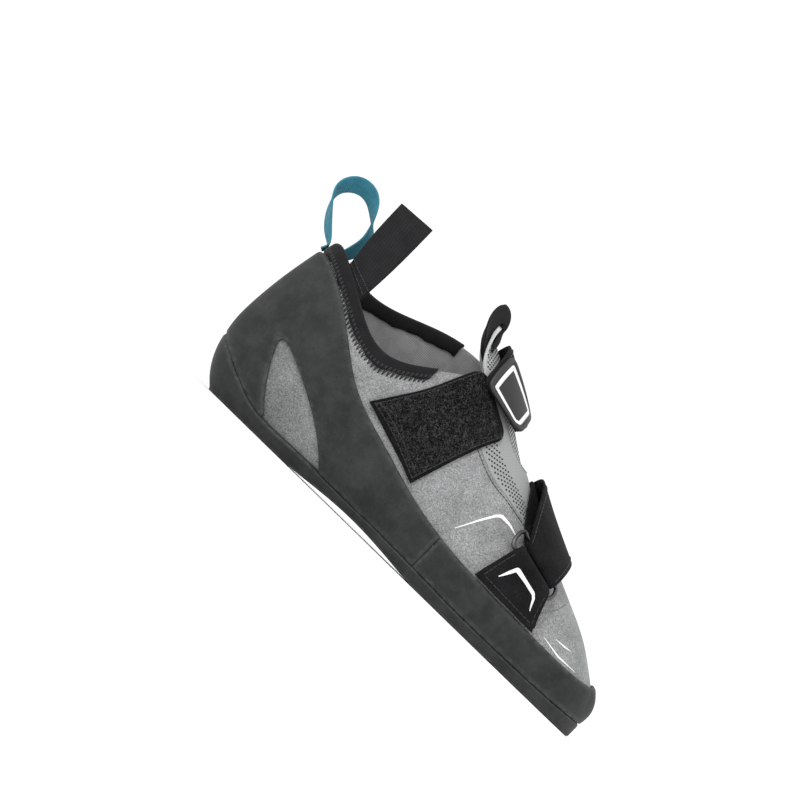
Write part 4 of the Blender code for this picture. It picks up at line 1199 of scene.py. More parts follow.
# Collar binding and its zigzag stitching
BINDING_PLACE = 3.78


def collar_edge(step):
    """Places round the collar, its edge's share of the half-girth there, and that share per millimetre."""
    stations = even_stations(0.0, BINDING_PLACE, step)
    places = np.concatenate([-stations[::-1], stations[1:]])
    q_edge = q_at_height(places, column(places, "edge_z"))
    half = 0.01
    reach = np.linalg.norm(on_last(places, q_edge + half) - on_last(places, q_edge - half), axis=-1)
    return places, q_edge, 2.0 * half / reach


def add_binding():
    places, q_edge, per_mm = collar_edge(1.1)
    over, inside = GAP + BINDING, -WALL - GAP
    fold = [(BINDING_DROP, 0.0), (BINDING_DROP, GAP + 0.55 * BINDING), (BINDING_DROP - 0.6, over),
            (4.5, over), (3.0, GAP + 1.15 * BINDING), (1.5, GAP + 1.15 * BINDING), (0.3, over),
            (-0.7, GAP + 0.45 * BINDING), (-1.35, -0.2), (-1.6, -0.5 * WALL), (-1.35, -WALL + 0.2),
            (-0.7, inside - 0.45 * BINDING), (0.3, inside - BINDING), (3.0, inside - BINDING),
            (BINDING_DROP - 0.6, inside - BINDING), (BINDING_DROP, inside - 0.5 * BINDING),
            (BINDING_DROP, -WALL), (-0.4, -WALL), (-0.4, 0.0)]
    drop, off = np.array(fold).T
    sway = 0.35 * np.sin(places * 9.0) + 0.2 * np.sin(places * 21.0)
    low_edge = np.clip(drop / BINDING_DROP, 0.0, 1.0)
    q = q_edge[:, None] - (drop + sway[:, None] * low_edge) * per_mm[:, None]
    spot = np.broadcast_to(places[:, None], q.shape)
    rings = on_last(spot, q) + outward(spot, q) * off[:, None]
    piece = add_loft("collar_binding_tape", rings, [BLACK_TAPE], weave_of(rings))
    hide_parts("collar_binding")
    add_zigzag()


# The zigzag: half its wave, its reach onto the tape and the suede, its thread's radius and dip at corners
ZIGZAG_TOOTH = 1.05
ZIGZAG_TAPE = 2.6
ZIGZAG_SUEDE = 2.8
ZIGZAG_THREAD = 0.27
ZIGZAG_DIP = 0.55


def add_zigzag():
    fine, q_edge, per_mm = collar_edge(0.3)
    run = run_of(on_last(fine, q_edge))
    number = int(run[-1] / ZIGZAG_TOOTH)
    corner = np.linspace(0.5, run[-1] - 0.5, number)
    drops = np.where(np.arange(number) % 2 == 0, BINDING_DROP - ZIGZAG_TAPE, BINDING_DROP + ZIGZAG_SUEDE)
    share = even_shares(7)
    starts, ends = np.arange(number - 1), np.arange(1, number)
    spot = corner[starts][:, None] + (corner[ends] - corner[starts])[:, None] * share
    drop = drops[starts][:, None] + (drops[ends] - drops[starts])[:, None] * share
    on_tape = drop < BINDING_DROP + 0.1
    off = np.where(on_tape, GAP + BINDING + 0.1, 0.22)
    off = off - ZIGZAG_DIP * (np.abs(2.0 * share - 1.0) > 0.95)
    place = np.interp(spot, run, fine)
    q = np.interp(spot, run, q_edge) - drop * np.interp(spot, run, per_mm)
    facing = outward(place, q)
    points, faces = tubes(on_last(place, q) + facing * off[..., None], facing, ZIGZAG_THREAD, 5)
    piece = add_mesh("collar_binding_zigzag", points, faces, [BLACK_THREAD])


# Straps that lie on the last
StrapRow = namedtuple("StrapRow", "side rear_x rear_z front_x front_z off")
RIDGE = 999.0
PANEL_OFF = GAP
OVER_PANEL = PANEL_OFF + STRAP + GAP
BADGE_OFF = OVER_PANEL + STRAP + 2.0 * GAP
PANEL_ROWS = [
    StrapRow(-1, 73.0, 47.5, 113.0, 33.5, PANEL_OFF),
    StrapRow(-1, 82.0, 61.0, 118.0, 49.0, PANEL_OFF),
    StrapRow(-1, 90.5, 76.0, 123.5, 65.0, PANEL_OFF),
    StrapRow(-1, 100.0, 97.0, 130.5, 79.5, PANEL_OFF),
]
INSTEP_ROWS = [
    StrapRow(1, 84.0, 45.0, 122.0, 39.5, GAP),
    StrapRow(1, 88.0, 62.0, 125.0, 55.0, GAP),
    StrapRow(1, 93.0, 84.0, 128.5, 73.0, GAP + 0.4),
    StrapRow(1, 98.5, RIDGE, 131.0, RIDGE, OVER_PANEL),
    StrapRow(-1, 103.0, 91.0, 130.5, 84.0, OVER_PANEL),
]
BADGE_ROWS = [
    StrapRow(-1, 102.0, 108.5, 129.0, 92.5, BADGE_OFF),
    StrapRow(-1, 103.2, 98.0, 131.0, 87.0, BADGE_OFF),
    StrapRow(-1, 105.5, 88.0, 132.0, 82.0, BADGE_OFF),
]


def strap_table(rows):
    """Station and girth of both edges, and the offset, for each row."""
    table = []
    for row in rows:
        rear_station, rear_girth = locate(row.side, row.rear_x, row.rear_z)
        front_station, front_girth = locate(row.side, row.front_x, row.front_z)
        edges = (rear_station, rear_girth, front_station, front_girth)
        table.append((*(float(value) for value in edges), row.off))
    return np.array(table)


def on_strap(table, t, s):
    """Stations, girths and offsets of a strap at shares along (t) and across (s) it."""
    t, s = arrays(t, s)
    rear_s, rear_g, front_s, front_g, off = np.moveaxis(curve_at(table, t), -1, 0)
    return rear_s + (front_s - rear_s) * s, rear_g + (front_g - rear_g) * s, off


def strap_points(table, t, s, lift):
    station, girth, off = on_strap(table, t, s)
    return skin(station, girth, off + lift)


def strap_facing(table, t, s):
    station, girth, _ = on_strap(table, t, s)
    return skin_normal(station, girth)


def add_strap(name, surface, t, columns, thick, middle, materials, length, width, radius):
    """A strap with round edges and round far corners, on surface(share along, share across, lift)."""
    share, half = round_share(columns)
    gone = np.clip(radius - (1.0 - t) * length, 0.0, radius)
    inset = ((radius - np.sqrt(radius**2 - gone**2)) / width)[:, None]
    s = inset + (1.0 - 2.0 * inset) * share
    tall = 0.5 * thick * half
    rings = both_faces(surface(t[:, None], s, middle + tall), surface(t[:, None], s, middle - tall))
    edge = np.broadcast_to(np.concatenate([1.0 - half, (1.0 - half)[-2:0:-1]]), rings.shape[:2])
    slots = [0 if k < columns - 1 else len(materials) - 1 for k in range(rings.shape[1])]
    return add_loft(name, rings, materials, weave_of(rings), edge, slots=slots)


def strap_stitches(name, table, t, s, lift):
    piece = add_stitches(name, strap_points(table, t, s, lift), strap_facing(table, t, s), STRAP_STITCH)


def add_loop_panel():
    table = strap_table(PANEL_ROWS)
    low = 1.45
    piece = add_strap("loop_panel_tape", partial(strap_points, table), eased(90), 44, low, 0.5 * low,
                      [FLEECE], length=66.0, width=40.0, radius=7.0)
    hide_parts("instep_loop_panel")
    chance = np.random.default_rng(11)
    number = 6200
    t = chance.uniform(0.045, 0.955, number)
    s = chance.uniform(0.05, 0.95, number)
    roots = strap_points(table, t, s, low)
    fuzz = add_fuzz("loop_panel_fibres", roots, strap_facing(table, t, s), height=0.95, width=1.1,
                    radius=0.085, seed=12)
    line = np.linspace(0.03, 0.95, 200)
    across = np.linspace(0.03, 0.97, 200)
    strap_stitches("loop_panel_stitch_rear", table, line, 0.045, low + 0.35)
    strap_stitches("loop_panel_stitch_front", table, line, 0.955, low + 0.35)
    strap_stitches("loop_panel_stitch_low", table, 0.035, across, low + 0.35)
    strap_stitches("loop_panel_stitch_low_two", table, 0.085, across, low + 0.45)


def add_instep_strap():
    table = strap_table(INSTEP_ROWS)
    piece = add_strap("instep_strap_tape", partial(strap_points, table), eased(130), 44, STRAP, 0.5 * STRAP,
                      [BLACK_TAPE], length=92.0, width=37.0, radius=3.0)
    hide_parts("instep_strap")
    line = np.linspace(0.02, 0.97, 240)
    strap_stitches("instep_strap_stitch_rear", table, line, 0.06, STRAP + 0.02)
    strap_stitches("instep_strap_stitch_front", table, line, 0.94, STRAP + 0.02)


def soft_outline(corners, radii, steps):
    """A closed outline through corners, each rounded by its own radius, as an array of points."""
    points = []
    count = len(corners)
    for i, (corner, radius) in enumerate(zip(corners, radii)):
        corner = np.array(corner, float)
        before = np.array(corners[i - 1], float) - corner
        after = np.array(corners[(i + 1) % count], float) - corner
        reach = min(radius, 0.45 * np.linalg.norm(before), 0.45 * np.linalg.norm(after))
        start, end = corner + unit(before) * reach, corner + unit(after) * reach
        points += [bow(start, corner, end, t) for t in even_shares(steps)]
    return np.array(points)


def dense(outline, count):
    """A closed outline cut into evenly spread points."""
    closed = np.concatenate([outline, outline[:1]])
    run = run_of(closed)
    spots = np.linspace(0.0, run[-1], count, endpoint=False)
    return np.stack([np.interp(spots, run, closed[:, k]) for k in range(2)], -1)


def shrunk(outline, amount):
    """A closed outline moved inwards by an amount."""
    run = np.roll(outline, -1, axis=0) - np.roll(outline, 1, axis=0)
    run = run / np.maximum(np.linalg.norm(run, axis=1, keepdims=True), 1e-9)
    x, y = outline.T
    turn = np.sum(x * np.roll(y, -1) - y * np.roll(x, -1))
    return outline + quarter(run) * np.sign(turn) * amount


BADGE_WIDE = 30.5
BADGE_TALL = 27.0


def add_badge():
    """A moulded shield on the strap's end: a raised rim, a white line inside it and a bare sunk middle."""
    table = strap_table(BADGE_ROWS)
    shape = [(0.4, 0.4), (0.4, 25.0), (25.0, 26.6), (30.1, 21.0), (30.1, 0.4)]
    outline = dense(soft_outline(shape, [5.0, 4.0, 4.5, 4.0, 5.0], 8), 160)

    def ring(spot, lift):
        return strap_points(table, spot[:, 1] / BADGE_TALL, spot[:, 0] / BADGE_WIDE, lift)

    steps = [(0.0, -0.3), (0.0, 0.9), (0.25, 1.35), (0.8, 1.62), (1.8, 1.62), (2.3, 1.3), (2.5, 1.12)]
    rings = [ring(shrunk(outline, inset), lift) for inset, lift in steps]
    centre = outline.mean(axis=0)
    inner = shrunk(outline, 2.5)
    for share in (0.9, 0.75, 0.55, 0.35, 0.15, 0.02):
        rings.append(ring(centre + (inner - centre) * share, 1.12 + 0.3 * (1.0 - share)))
    edge = np.zeros((len(rings), len(outline)))
    edge[2:5] = 1.0
    piece = add_loft("instep_badge_moulding", rings, [MOULDED], None, edge)
    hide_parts("instep_strap_badge")
    steps = [(3.2, 1.0), (3.2, 1.3), (5.2, 1.36), (5.2, 1.0)]
    band = [ring(shrunk(outline, inset), lift) for inset, lift in steps]
    line = add_loft("instep_badge_line", np.stack(band, 1), [WHITE_FILM], closed=True)


# Straps that fold: a path, as girths and offsets, between two lines of x
PathRow = namedtuple("PathRow", "girth off")
UPPER_BAR = PathRow(-0.415, 4.4)
LOWER_BAR = PathRow(-0.523, 4.1)
FOREFOOT_PATH = [
    (0.68, 1.1), (0.55, 1.1), (0.4, 1.1), (0.2, 1.1), (0.02, 1.1),
    (-0.16, 1.1), (-0.3, 1.15), (-0.39, 1.6), (-0.437, 2.7), (-0.455, 4.6),
    (-0.44, 6.5), (-0.39, 7.7), (-0.3, 8.2), (-0.18, 7.8), (-0.06, 6.2),
    (0.06, 4.4), (0.2, 3.3), (0.36, 3.1), (0.5, 3.1),
]
# The base's low end follows the rand's top edge, at a small clearance; its fold at the ring stays
BASE_LOW = -0.76
BASE_HIGH = -0.5
BASE_CLEAR = 0.9
BASE_PATH = [
    (BASE_LOW, 1.1), (-0.7, 1.1), (-0.63, 1.1), (-0.56, 1.15),
    (-0.503, 1.8),
    (-0.486, 4.0), (-0.503, 6.2), (-0.545, 6.5), (-0.6, 5.0), (-0.66, 3.5),
    (-0.71, 3.0), (BASE_LOW, 2.9),
]


def forefoot_rear(girth):
    return 153.0 + 83.0 * np.minimum(girth, 0.0) ** 2


def forefoot_front(girth):
    return 189.5 - 4.6 * girth


def base_rear(girth):
    return 168.5 + 22.7 * (girth + 0.5)


def base_front(girth):
    return 191.0 - 33.6 * (girth + 0.5)


def as_drawn(girth, x):
    return girth


def down_to_rand(girth, x):
    place = station_at(x, np.full(np.shape(x), BASE_LOW))
    low = q_at_height(place, column(place, "rand_z") + BASE_CLEAR) - 1.0
    share = np.maximum(BASE_HIGH - girth, 0.0) / (BASE_HIGH - BASE_LOW)
    return girth + share * (low - BASE_LOW)


FoldedStrap = namedtuple("FoldedStrap", "path rear front fitted")
FOREFOOT = FoldedStrap(FOREFOOT_PATH, forefoot_rear, forefoot_front, as_drawn)
BASE = FoldedStrap(BASE_PATH, base_rear, base_front, down_to_rand)


def on_folded(strap, t, s, lift):
    """Points of a folded strap at shares along and across it, lifted off its middle to its outer side."""
    t, s, lift = arrays(t, s, lift)
    step = 0.002
    scale = np.array([GIRTH_MM, 1.0])
    after = curve_at(strap.path, np.minimum(t + step, 1.0))
    before = curve_at(strap.path, np.maximum(t - step, 0.0))
    spot = curve_at(strap.path, t) * scale + quarter(unit((after - before) * scale)) * lift[..., None]
    girth = spot[..., 0] / GIRTH_MM
    x = strap.rear(girth) + (strap.front(girth) - strap.rear(girth)) * s
    girth = strap.fitted(girth, x)
    return skin(station_at(x, girth), girth, spot[..., 1])


def folded_facing(strap, t, s, sign):
    return unit(on_folded(strap, t, s, sign * 0.4) - on_folded(strap, t, s, 0.0))


def folded_stitches(name, strap, t, s, lift):
    facing = folded_facing(strap, t, s, math.copysign(1.0, lift))
    piece = add_stitches(name, on_folded(strap, t, s, lift), facing, FOLD_STITCH)


def add_forefoot_straps():
    outer = -0.5 * FOLDED
    piece = add_strap("forefoot_strap_tape", partial(on_folded, FOREFOOT), even_shares(230), 36,
                      FOLDED, 0.0, [BLACK_SUEDE, FLEECE], length=150.0, width=36.0, radius=6.0)
    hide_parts("forefoot_strap")
    base = add_strap("forefoot_base_tape", partial(on_folded, BASE), even_shares(130), 34,
                     FOLDED, 0.0, [BLACK_TAPE, BLACK_SUEDE], length=38.0, width=24.0, radius=3.0)
    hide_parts("forefoot_strap_base")
    line = np.linspace(0.555, 0.965, 240)
    folded_stitches("forefoot_strap_stitch_rear", FOREFOOT, line, 0.07, -outer)
    folded_stitches("forefoot_strap_stitch_front", FOREFOOT, line, 0.93, -outer)
    low = np.linspace(0.66, 0.95, 120)
    folded_stitches("forefoot_base_stitch_rear", BASE, low, 0.07, outer)
    folded_stitches("forefoot_base_stitch_front", BASE, low, 0.93, outer)
    folded_stitches("forefoot_base_stitch_low", BASE, 0.95, np.linspace(0.1, 0.9, 120), outer)
    chance = np.random.default_rng(21)
    number = 2600
    t = chance.uniform(0.36, 0.74, number)
    s = chance.uniform(0.03, 0.97, number)
    roots = on_folded(FOREFOOT, t, s, outer)
    fuzz = add_fuzz("forefoot_strap_fibres", roots, folded_facing(FOREFOOT, t, s, -1.0), height=0.7,
                    width=0.9, radius=0.08, seed=22)


def add_sweep(name, line, radius, sides, material):
    """A closed round wire along a closed line of points."""
    run = unit(np.roll(line, -1, axis=0) - np.roll(line, 1, axis=0))
    count = len(line)
    flat = unit(np.cross(line[0] - line[count // 2], line[count // 4] - line[3 * count // 4]))
    beside = unit(np.cross(run, flat))
    rim = circle(beside, np.cross(beside, run), sides)
    return add_loft(name, line[:, None] + radius * rim, [material], closed=True)


# How far the ring's round ends reach, as a share of a half circle
RING_END = 0.55


def add_ring():
    """The strap's wire ring: along one bar, round, and back along the other."""
    middle_girth = 0.5 * (UPPER_BAR.girth + LOWER_BAR.girth)
    reach_girth = 0.5 * (UPPER_BAR.girth - LOWER_BAR.girth)
    middle_off = 0.5 * (UPPER_BAR.off + LOWER_BAR.off)
    reach_off = 0.5 * (UPPER_BAR.off - LOWER_BAR.off)
    rear, front = forefoot_rear(UPPER_BAR.girth), forefoot_front(UPPER_BAR.girth)
    centre, half = 0.5 * (rear + front), 0.5 * (front - rear) + 0.8
    ends = []
    for end in (1.0, -1.0):
        angle = np.linspace(0.5 * math.pi, -0.5 * math.pi, 25)
        swing = end * np.sin(angle)
        girth = middle_girth + reach_girth * swing
        x = centre + end * (half + reach_girth * GIRTH_MM * np.cos(angle) * RING_END)
        ends.append(skin(station_at(x, girth), girth, middle_off + reach_off * swing))
    share = even_shares(26)[1:-1, None]
    bars = [ends[i][-1] + (ends[1 - i][0] - ends[i][-1]) * share for i in (0, 1)]
    line = np.concatenate([ends[0], bars[0], ends[1], bars[1]])
    piece = add_sweep("forefoot_ring_wire", line, WIRE, 14, WIRE_METAL)
    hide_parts("forefoot_ring")


# Tongue tab
TAB_REACH = 0.2
TAB_THICK = 2.0
TAB_CLEAR = 2.5 * GAP
# How far the outer and the inner flap come down from the tongue's top, in stations
TAB_OUTER = 0.5
TAB_INNER = 0.72


def add_tongue_tab():
    """A padded strip folded over the tongue's top edge, sewn down along its middle."""
    top = TONGUE_ROWS[0].station
    outside_off, inside_off = TONGUE_OFF + TAB_CLEAR, TONGUE_OFF - TONGUE - TAB_CLEAR
    middle = 0.5 * (outside_off + inside_off)
    profile = [
        (top + TAB_OUTER, outside_off), (top + TAB_OUTER, outside_off + 0.6 * TAB_THICK),
        (top + 0.3, outside_off + TAB_THICK), (top + 0.05, outside_off + 0.9 * TAB_THICK),
        (top - 0.1, outside_off + 0.3 * TAB_THICK), (top - 0.14, middle),
        (top - 0.1, inside_off - 0.3 * TAB_THICK), (top + 0.05, inside_off - 0.8 * TAB_THICK),
        (top + 0.3, inside_off - 0.8 * TAB_THICK), (top + 0.55, inside_off - 0.8 * TAB_THICK),
        (top + TAB_INNER, inside_off - 0.6 * TAB_THICK), (top + TAB_INNER, inside_off),
    ]
    lining = [(top + 0.54, inside_off), (top + 0.36, inside_off), (top + 0.25, inside_off),
              (top + 0.13, inside_off), (top - 0.05, inside_off), (top - 0.05, outside_off),
              (top + 0.13, outside_off), (top + 0.25, outside_off), (top + 0.36, outside_off)]
    face = curve_at(profile, even_shares(60))
    section = np.concatenate([face, lining])
    share, half = round_share(56, 5.0)
    girth = TAB_REACH * (2.0 * share - 1.0)
    station, off, spread_out = arrays(section[:, 0], section[:, 1], girth[:, None])
    core = np.where(off > middle, outside_off, inside_off)
    seam = 0.55 * np.exp(-((spread_out / 0.012) ** 2))
    puff = 1.0 + 0.22 * np.sin(math.pi * np.clip(np.abs(spread_out) / TAB_REACH, 0.0, 1.0)) ** 1.3 - seam
    off = core + (off - core) * puff * (0.35 + 0.65 * half[:, None])
    rings = tongue_skin(station, spread_out, off)
    piece = add_loft("tongue_tab_pad", rings, [BLACK_PAD], weave_of(rings))
    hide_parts("tongue_tab")
    line = curve_at(profile, np.linspace(0.12, 0.46, 160))
    lift = np.where(line[:, 1] > middle, line[:, 1] - 0.42 * TAB_THICK, line[:, 1])
    points = tongue_skin(line[:, 0], np.zeros(160), lift)
    facing = tongue_normal(line[:, 0], np.zeros(160))
    stitch = add_stitches("tongue_tab_stitch", points, facing, TONGUE_TAB_STITCH)


# Ribbons that stand free
def heel_point(z, off):
    return skin(0.0, -(1.0 - q_at_height(0.0, z)), off)


FREE_LOOP = [(-1.5, 95.5), (-8.8, 105.0), (-10.6, 114.0), (-5.0, 120.6), (3.8, 120.4), (11.4, 113.0),
             (16.6, 102.0)]
LOOP_WIDTH = 10.0
LOOP_TURNS = [0.0, 6.0, 20.0, 10.0, -22.0, -46.0, -40.0, -8.0, 30.0, 16.0, 0.0]


def add_ribbon(name, line, turns, width, thick, material, columns):
    """A woven ribbon along a line in the XZ plane; turns is how far its width leans off the Y axis."""
    run = unit(np.gradient(line, axis=0))
    sideways = np.array([0.0, 1.0, 0.0])
    across = sideways * np.cos(turns)[:, None] + np.cross(run, sideways) * np.sin(turns)[:, None]
    up = np.cross(run, across)
    share, half = round_share(columns)
    flat = line[:, None] + (share[None, :, None] - 0.5) * width * across[:, None]
    tall = 0.5 * thick * half[None, :, None] * up[:, None]
    rings = both_faces(flat + tall, flat - tall)
    return add_loft(name, rings, [material], weave_of(rings))


def add_pull_loop():
    line = [heel_point(85.2, 2.9), heel_point(89.5, 3.1)]
    line += [np.array([x, 0.0, z]) for x, z in FREE_LOOP]
    line += [heel_point(91.0, -5.6), heel_point(82.0, -5.6)]
    share = even_shares(150)
    path = curve_at(line, share)
    turns = np.radians(curve_at(np.array(LOOP_TURNS)[:, None], share)[:, 0])
    piece = add_ribbon("teal_pull_loop", path, turns, LOOP_WIDTH, RIBBON, TEAL, 26)
    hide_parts("heel_pull_loop")


TAB_STATIONS = (1.25, 2.0)
TAB_SEWN = [(64.0, 58.0, -3.5), (74.0, 66.0, -3.7), (86.0, 76.5, -5.2)]
TAB_FREE = [((18.0, -12.8, 103.0), (37.0, -18.4, 100.0)), ((16.8, -11.0, 127.2), (36.9, -15.8, 127.6))]


def add_pull_tab():
    """Doubled webbing, sewn inside the outer side of the collar and standing up from it."""
    stations = np.linspace(*TAB_STATIONS, 4)
    share = even_shares(4)
    rows = []
    for rear_z, front_z, off in TAB_SEWN:
        girths = q_at_height(stations, rear_z + (front_z - rear_z) * share) - 1.0
        rows.append(skin(stations, girths, off))
    for rear, front in TAB_FREE:
        rows.append(np.array(rear) + (np.array(front) - np.array(rear)) * share[:, None])
    rows = np.array(rows).reshape(len(rows), -1)
    count = 90
    edges = curve_at(rows, even_shares(count)).reshape(count, 4, 3)
    spots, half = round_share(30, 10.0)
    wide = np.stack([curve_at(edge, spots) for edge in edges])
    face = unit(np.cross(edges[:, -1] - edges[:, 0], np.array([0.0, 0.0, 1.0])))
    rib = 0.1 * np.cos(2.0 * math.pi * spots * 11.0)
    tall = (0.5 * WEBBING - 0.1 + rib) * half
    groove = 1.0 - 0.8 * np.exp(-((np.abs(2.0 * spots - 1.0) - 1.0) / 0.03) ** 2)
    lift = face[:, None] * (tall * groove)[None, :, None]
    rings = both_faces(wide + lift, wide - lift)
    piece = add_loft("black_pull_tab", rings, [BLACK_WEBBING], weave_of(rings))
    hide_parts("heel_pull_tab")
    for name, share_up in (("black_pull_tab_stitch_low", 0.57), ("black_pull_tab_stitch_high", 0.61)):
        row = int(share_up * count)
        for side, sign in (("out", 1.0), ("in", -1.0)):
            line = wide[row, 2:-2] + sign * face[row] * (0.5 * WEBBING - 0.05)
            facing = np.tile(sign * face[row], (len(line), 1))
            stitch = add_stitches(f"{name}_{side}", line, facing, PULL_TAB_STITCH)


# White film on the suede and the strap: a line with a width at each point, which tapers to its ends
def film_spots(line, widths, count=90):
    """Spots over a film along a line in the plane, in its units, and the share of its thickness across it."""
    share = even_shares(count)
    corners = even_shares(len(line))
    middle = np.stack([np.interp(share, corners, values) for values in np.array(line).T], -1)
    for _ in range(3):
        middle[1:-1] = 0.25 * middle[:-2] + 0.5 * middle[1:-1] + 0.25 * middle[2:]
    half = 0.5 * np.interp(share, even_shares(len(widths)), widths)[:, None]
    beside = quarter(unit(np.gradient(middle, axis=0))) * half
    across, thick = round_share(9)
    return (middle + beside)[:, None] - 2.0 * beside[:, None] * across[None, :, None], thick


def add_film(name, side, line, widths):
    """A thin film on the last along a line of x and z, with its widths in millimetres."""
    spots, thick = film_spots(line, widths)
    station, girth = locate(side, spots[..., 0], spots[..., 1])
    sunk = suede_lift(skin(station, girth).reshape(-1, 3)).reshape(station.shape)
    high = skin(station, girth, sunk + 0.06 + 0.22 * thick)
    low = skin(station, girth, sunk - 0.3)
    piece = add_loft(name, np.concatenate([high, low[:, ::-1]], 1), [WHITE_FILM])


BASE_TALL = 40.0
BASE_WIDE = 27.0


def add_chevron():
    """A white bracket on the outer face of the forefoot strap's base: a long arm between two hooks."""
    line = [(0.20, 0.86), (0.245, 0.78), (0.295, 0.71), (0.52, 0.715), (0.735, 0.725), (0.785, 0.75),
            (0.83, 0.85)]
    line = [(s * BASE_WIDE, t * BASE_TALL) for s, t in line]
    spots, thick = film_spots(line, [0.3, 1.2, 1.6, 1.2, 1.3, 1.2, 0.3])
    s, t = spots[..., 0] / BASE_WIDE, spots[..., 1] / BASE_TALL
    high = on_folded(BASE, t, s, -0.5 * FOLDED - 0.2 * thick)
    low = on_folded(BASE, t, s, -0.5 * FOLDED + 0.25)
    piece = add_loft("forefoot_base_chevron", np.concatenate([high, low[:, ::-1]], 1), [WHITE_FILM])


def skin_stitches(name, side, spots):
    """Stitches on the last along a line of x and z."""
    table = np.stack(locate(side, *np.array(spots, float).T), -1)
    station, girth = curve_at(table, even_shares(160)).T
    points = skin(station, girth, 0.02 + crease_depth(skin(station, girth)))
    piece = add_stitches(name, points, skin_normal(station, girth), TOE_STITCH)


# Seams beside the throat: first and last station, and, as girths, how far in they run and end from the ridge
THROAT_SEAM = (4.55, 6.55)
INLAY_SEAM = (4.8, 7.5)
SEAM_IN = 0.022
SEAM_SHORT = 0.06


def add_throat_stitches():
    """A row of stitches along each side of the throat's cut edge."""
    for side, name in ((-1.0, "throat_stitch_outer"), (1.0, "throat_stitch_inner")):
        stations = np.linspace(*THROAT_SEAM, 200)
        place = loop_place(stations, np.full(200, side))
        q = q_at_height(place, column(place, "edge_z")) - SEAM_IN
        short = 1.0 - q > SEAM_SHORT
        stations, girth = stations[short], side * (1.0 - q[short])
        facing = skin_normal(stations, girth)
        points = skin(stations, girth, 0.02 - INLAY_SUNK)
        piece = add_stitches(name, points, facing, THROAT_STITCH)


def add_inlay_stitches():
    """Stitches along the suede's edge over the knit inlay."""
    for side, name in ((-1.0, "inlay_stitch_outer"), (1.0, "inlay_stitch_inner")):
        stations = np.linspace(*INLAY_SEAM, 240)
        girth = side * (inlay_edge(stations) + SEAM_IN)
        lift = crease_depth(skin(stations, girth)) + 0.03
        facing = skin_normal(stations, girth)
        piece = add_stitches(name, skin(stations, girth, lift), facing, INLAY_STITCH)


def add_markings():
    side_line = [(141.6, 33.0), (146.1, 41.2), (151.5, 50.6), (153.6, 52.3), (159.4, 51.9), (164.8, 50.1)]
    add_film("side_accent", -1, side_line, [0.3, 0.8, 1.3, 1.7, 1.0, 0.3])
    add_film("toe_accent_low", -1, [(206.0, 25.7), (216.8, 23.9), (228.4, 24.3)], [0.2, 0.9, 0.2])
    add_film("toe_accent_high", -1, [(210.7, 29.0), (216.4, 29.3), (220.0, 29.8)], [0.2, 0.7, 0.2])
    toe_line = [(193.6, 25.0), (195.2, 28.8), (198.0, 33.6), (201.8, 38.8), (204.5, 44.5)]
    skin_stitches("toe_box_stitch", -1, toe_line)
    inner_line = [(195.0, 26.0), (197.0, 30.5), (200.0, 36.0), (204.0, 43.0)]
    skin_stitches("toe_box_stitch_inner", 1, inner_line)


# Half the slit between the two rands, in stations
RAND_SLIT = 0.006
add_upper()
add_rand("heel_rand_rubber", "heel_rand", 0.0, RAND_JOIN - RAND_SLIT, outside_heel_rand, 84)
add_rand("toe_rand_rubber", "toe_rand", RAND_JOIN + RAND_SLIT, float(TIP), outside_band, 74)
add_outsole()
add_insole()
add_tongue()
add_knit_holes()
add_inlay_holes()
add_binding()
add_loop_panel()
add_instep_strap()
add_badge()
add_forefoot_straps()
add_ring()
add_tongue_tab()
add_pull_loop()
add_pull_tab()
add_chevron()
add_throat_stitches()
add_inlay_stitches()
add_markings()


# Floor, light and camera
FLOOR_HALF = 30.0
FLOOR_CELLS = 24


def add_floor():
    """A wide, level floor."""
    across = FLOOR_CELLS + 1
    side = np.linspace(-FLOOR_HALF, FLOOR_HALF, across)
    points = [(float(x), float(y), 0.0) for y in side for x in side]
    faces = []
    for i in range(FLOOR_CELLS):
        for j in range(FLOOR_CELLS):
            spot = i * across + j
            faces.append([spot, spot + 1, spot + across + 1, spot + across])
    mesh = bpy.data.meshes.new("studio_floor")
    mesh.from_pydata(points, [], faces)
    mesh.materials.append(floor_material("pale_floor", (0.95, 0.95, 0.95), (0.97, 0.97, 0.97)))
    mesh.polygons.foreach_set("use_smooth", [True] * len(mesh.polygons))
    floor = bpy.data.objects.new("studio_floor", mesh)
    bpy.context.scene.collection.objects.link(floor)


LAMP_AIM = Vector((0.0, 0.0, 0.05))


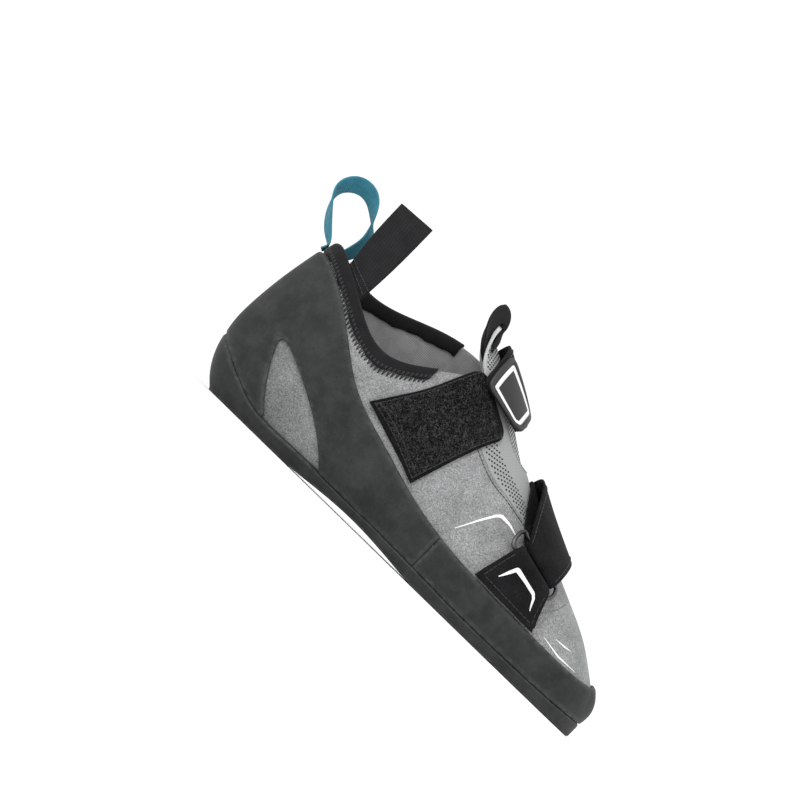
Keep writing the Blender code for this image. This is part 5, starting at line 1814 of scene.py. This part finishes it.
def add_lamp(name, place, size, power):
    lamp = bpy.data.lights.new(name, "AREA")
    lamp.shape = "DISK"
    lamp.size = size
    lamp.energy = power
    holder = bpy.data.objects.new(name, lamp)
    holder.location = place
    holder.rotation_euler = (LAMP_AIM - Vector(place)).to_track_quat("-Z", "Y").to_euler()
    bpy.context.scene.collection.objects.link(holder)


def add_light():
    world = bpy.data.worlds.new("studio_white")
    world.use_nodes = True
    backdrop = world.node_tree.nodes["Background"]
    backdrop.inputs["Color"].default_value = (1.0, 1.0, 1.0, 1.0)
    backdrop.inputs["Strength"].default_value = 1.08
    bpy.context.scene.world = world
    add_lamp("key_light", (-0.9, -1.1, 1.3), 0.9, 13.0)
    add_lamp("fill_light", (1.2, -1.4, 0.7), 1.2, 5.0)
    bpy.context.scene.view_settings.view_transform = "Standard"


# The photograph looks square on the outer side, rolled; the floor stops the camera from going lower
ROLL = math.radians(44.2)
MM_PER_PIXEL = 0.467
IMAGE = 800
AIM_PIXEL = (444.3, 469.2)
CAMERA_FAR = 0.85
CAMERA_LOW = 0.006
# Where it looks: x on the last in millimetres, y and z in metres
AIM_X = 119.5
AIM_Y = -0.02
AIM_Z = 0.05


def add_camera():
    aim = Vector(((AIM_X + SHIFT[0]) * MM, AIM_Y, AIM_Z))
    drop = CAMERA_LOW - aim.z
    back = Vector((0.0, -math.sqrt(CAMERA_FAR**2 - drop**2), drop)).normalized()
    right = Vector((1.0, 0.0, 0.0))
    up = back.cross(right)
    turned_right = right * math.cos(ROLL) + up * math.sin(ROLL)
    turned_up = up * math.cos(ROLL) - right * math.sin(ROLL)
    lens = bpy.data.cameras.new("camera")
    lens.sensor_width = 36.0
    lens.lens = lens.sensor_width * CAMERA_FAR / (IMAGE * MM_PER_PIXEL * MM)
    lens.clip_start = 0.01
    lens.shift_x = -(AIM_PIXEL[0] - 0.5 * IMAGE) / IMAGE
    lens.shift_y = (AIM_PIXEL[1] - 0.5 * IMAGE) / IMAGE
    camera = bpy.data.objects.new("camera", lens)
    turn = Matrix((turned_right, turned_up, back)).transposed().to_4x4()
    camera.matrix_world = Matrix.Translation(aim + back * CAMERA_FAR) @ turn
    bpy.context.scene.collection.objects.link(camera)
    bpy.context.scene.camera = camera


add_floor()
add_light()
add_camera()
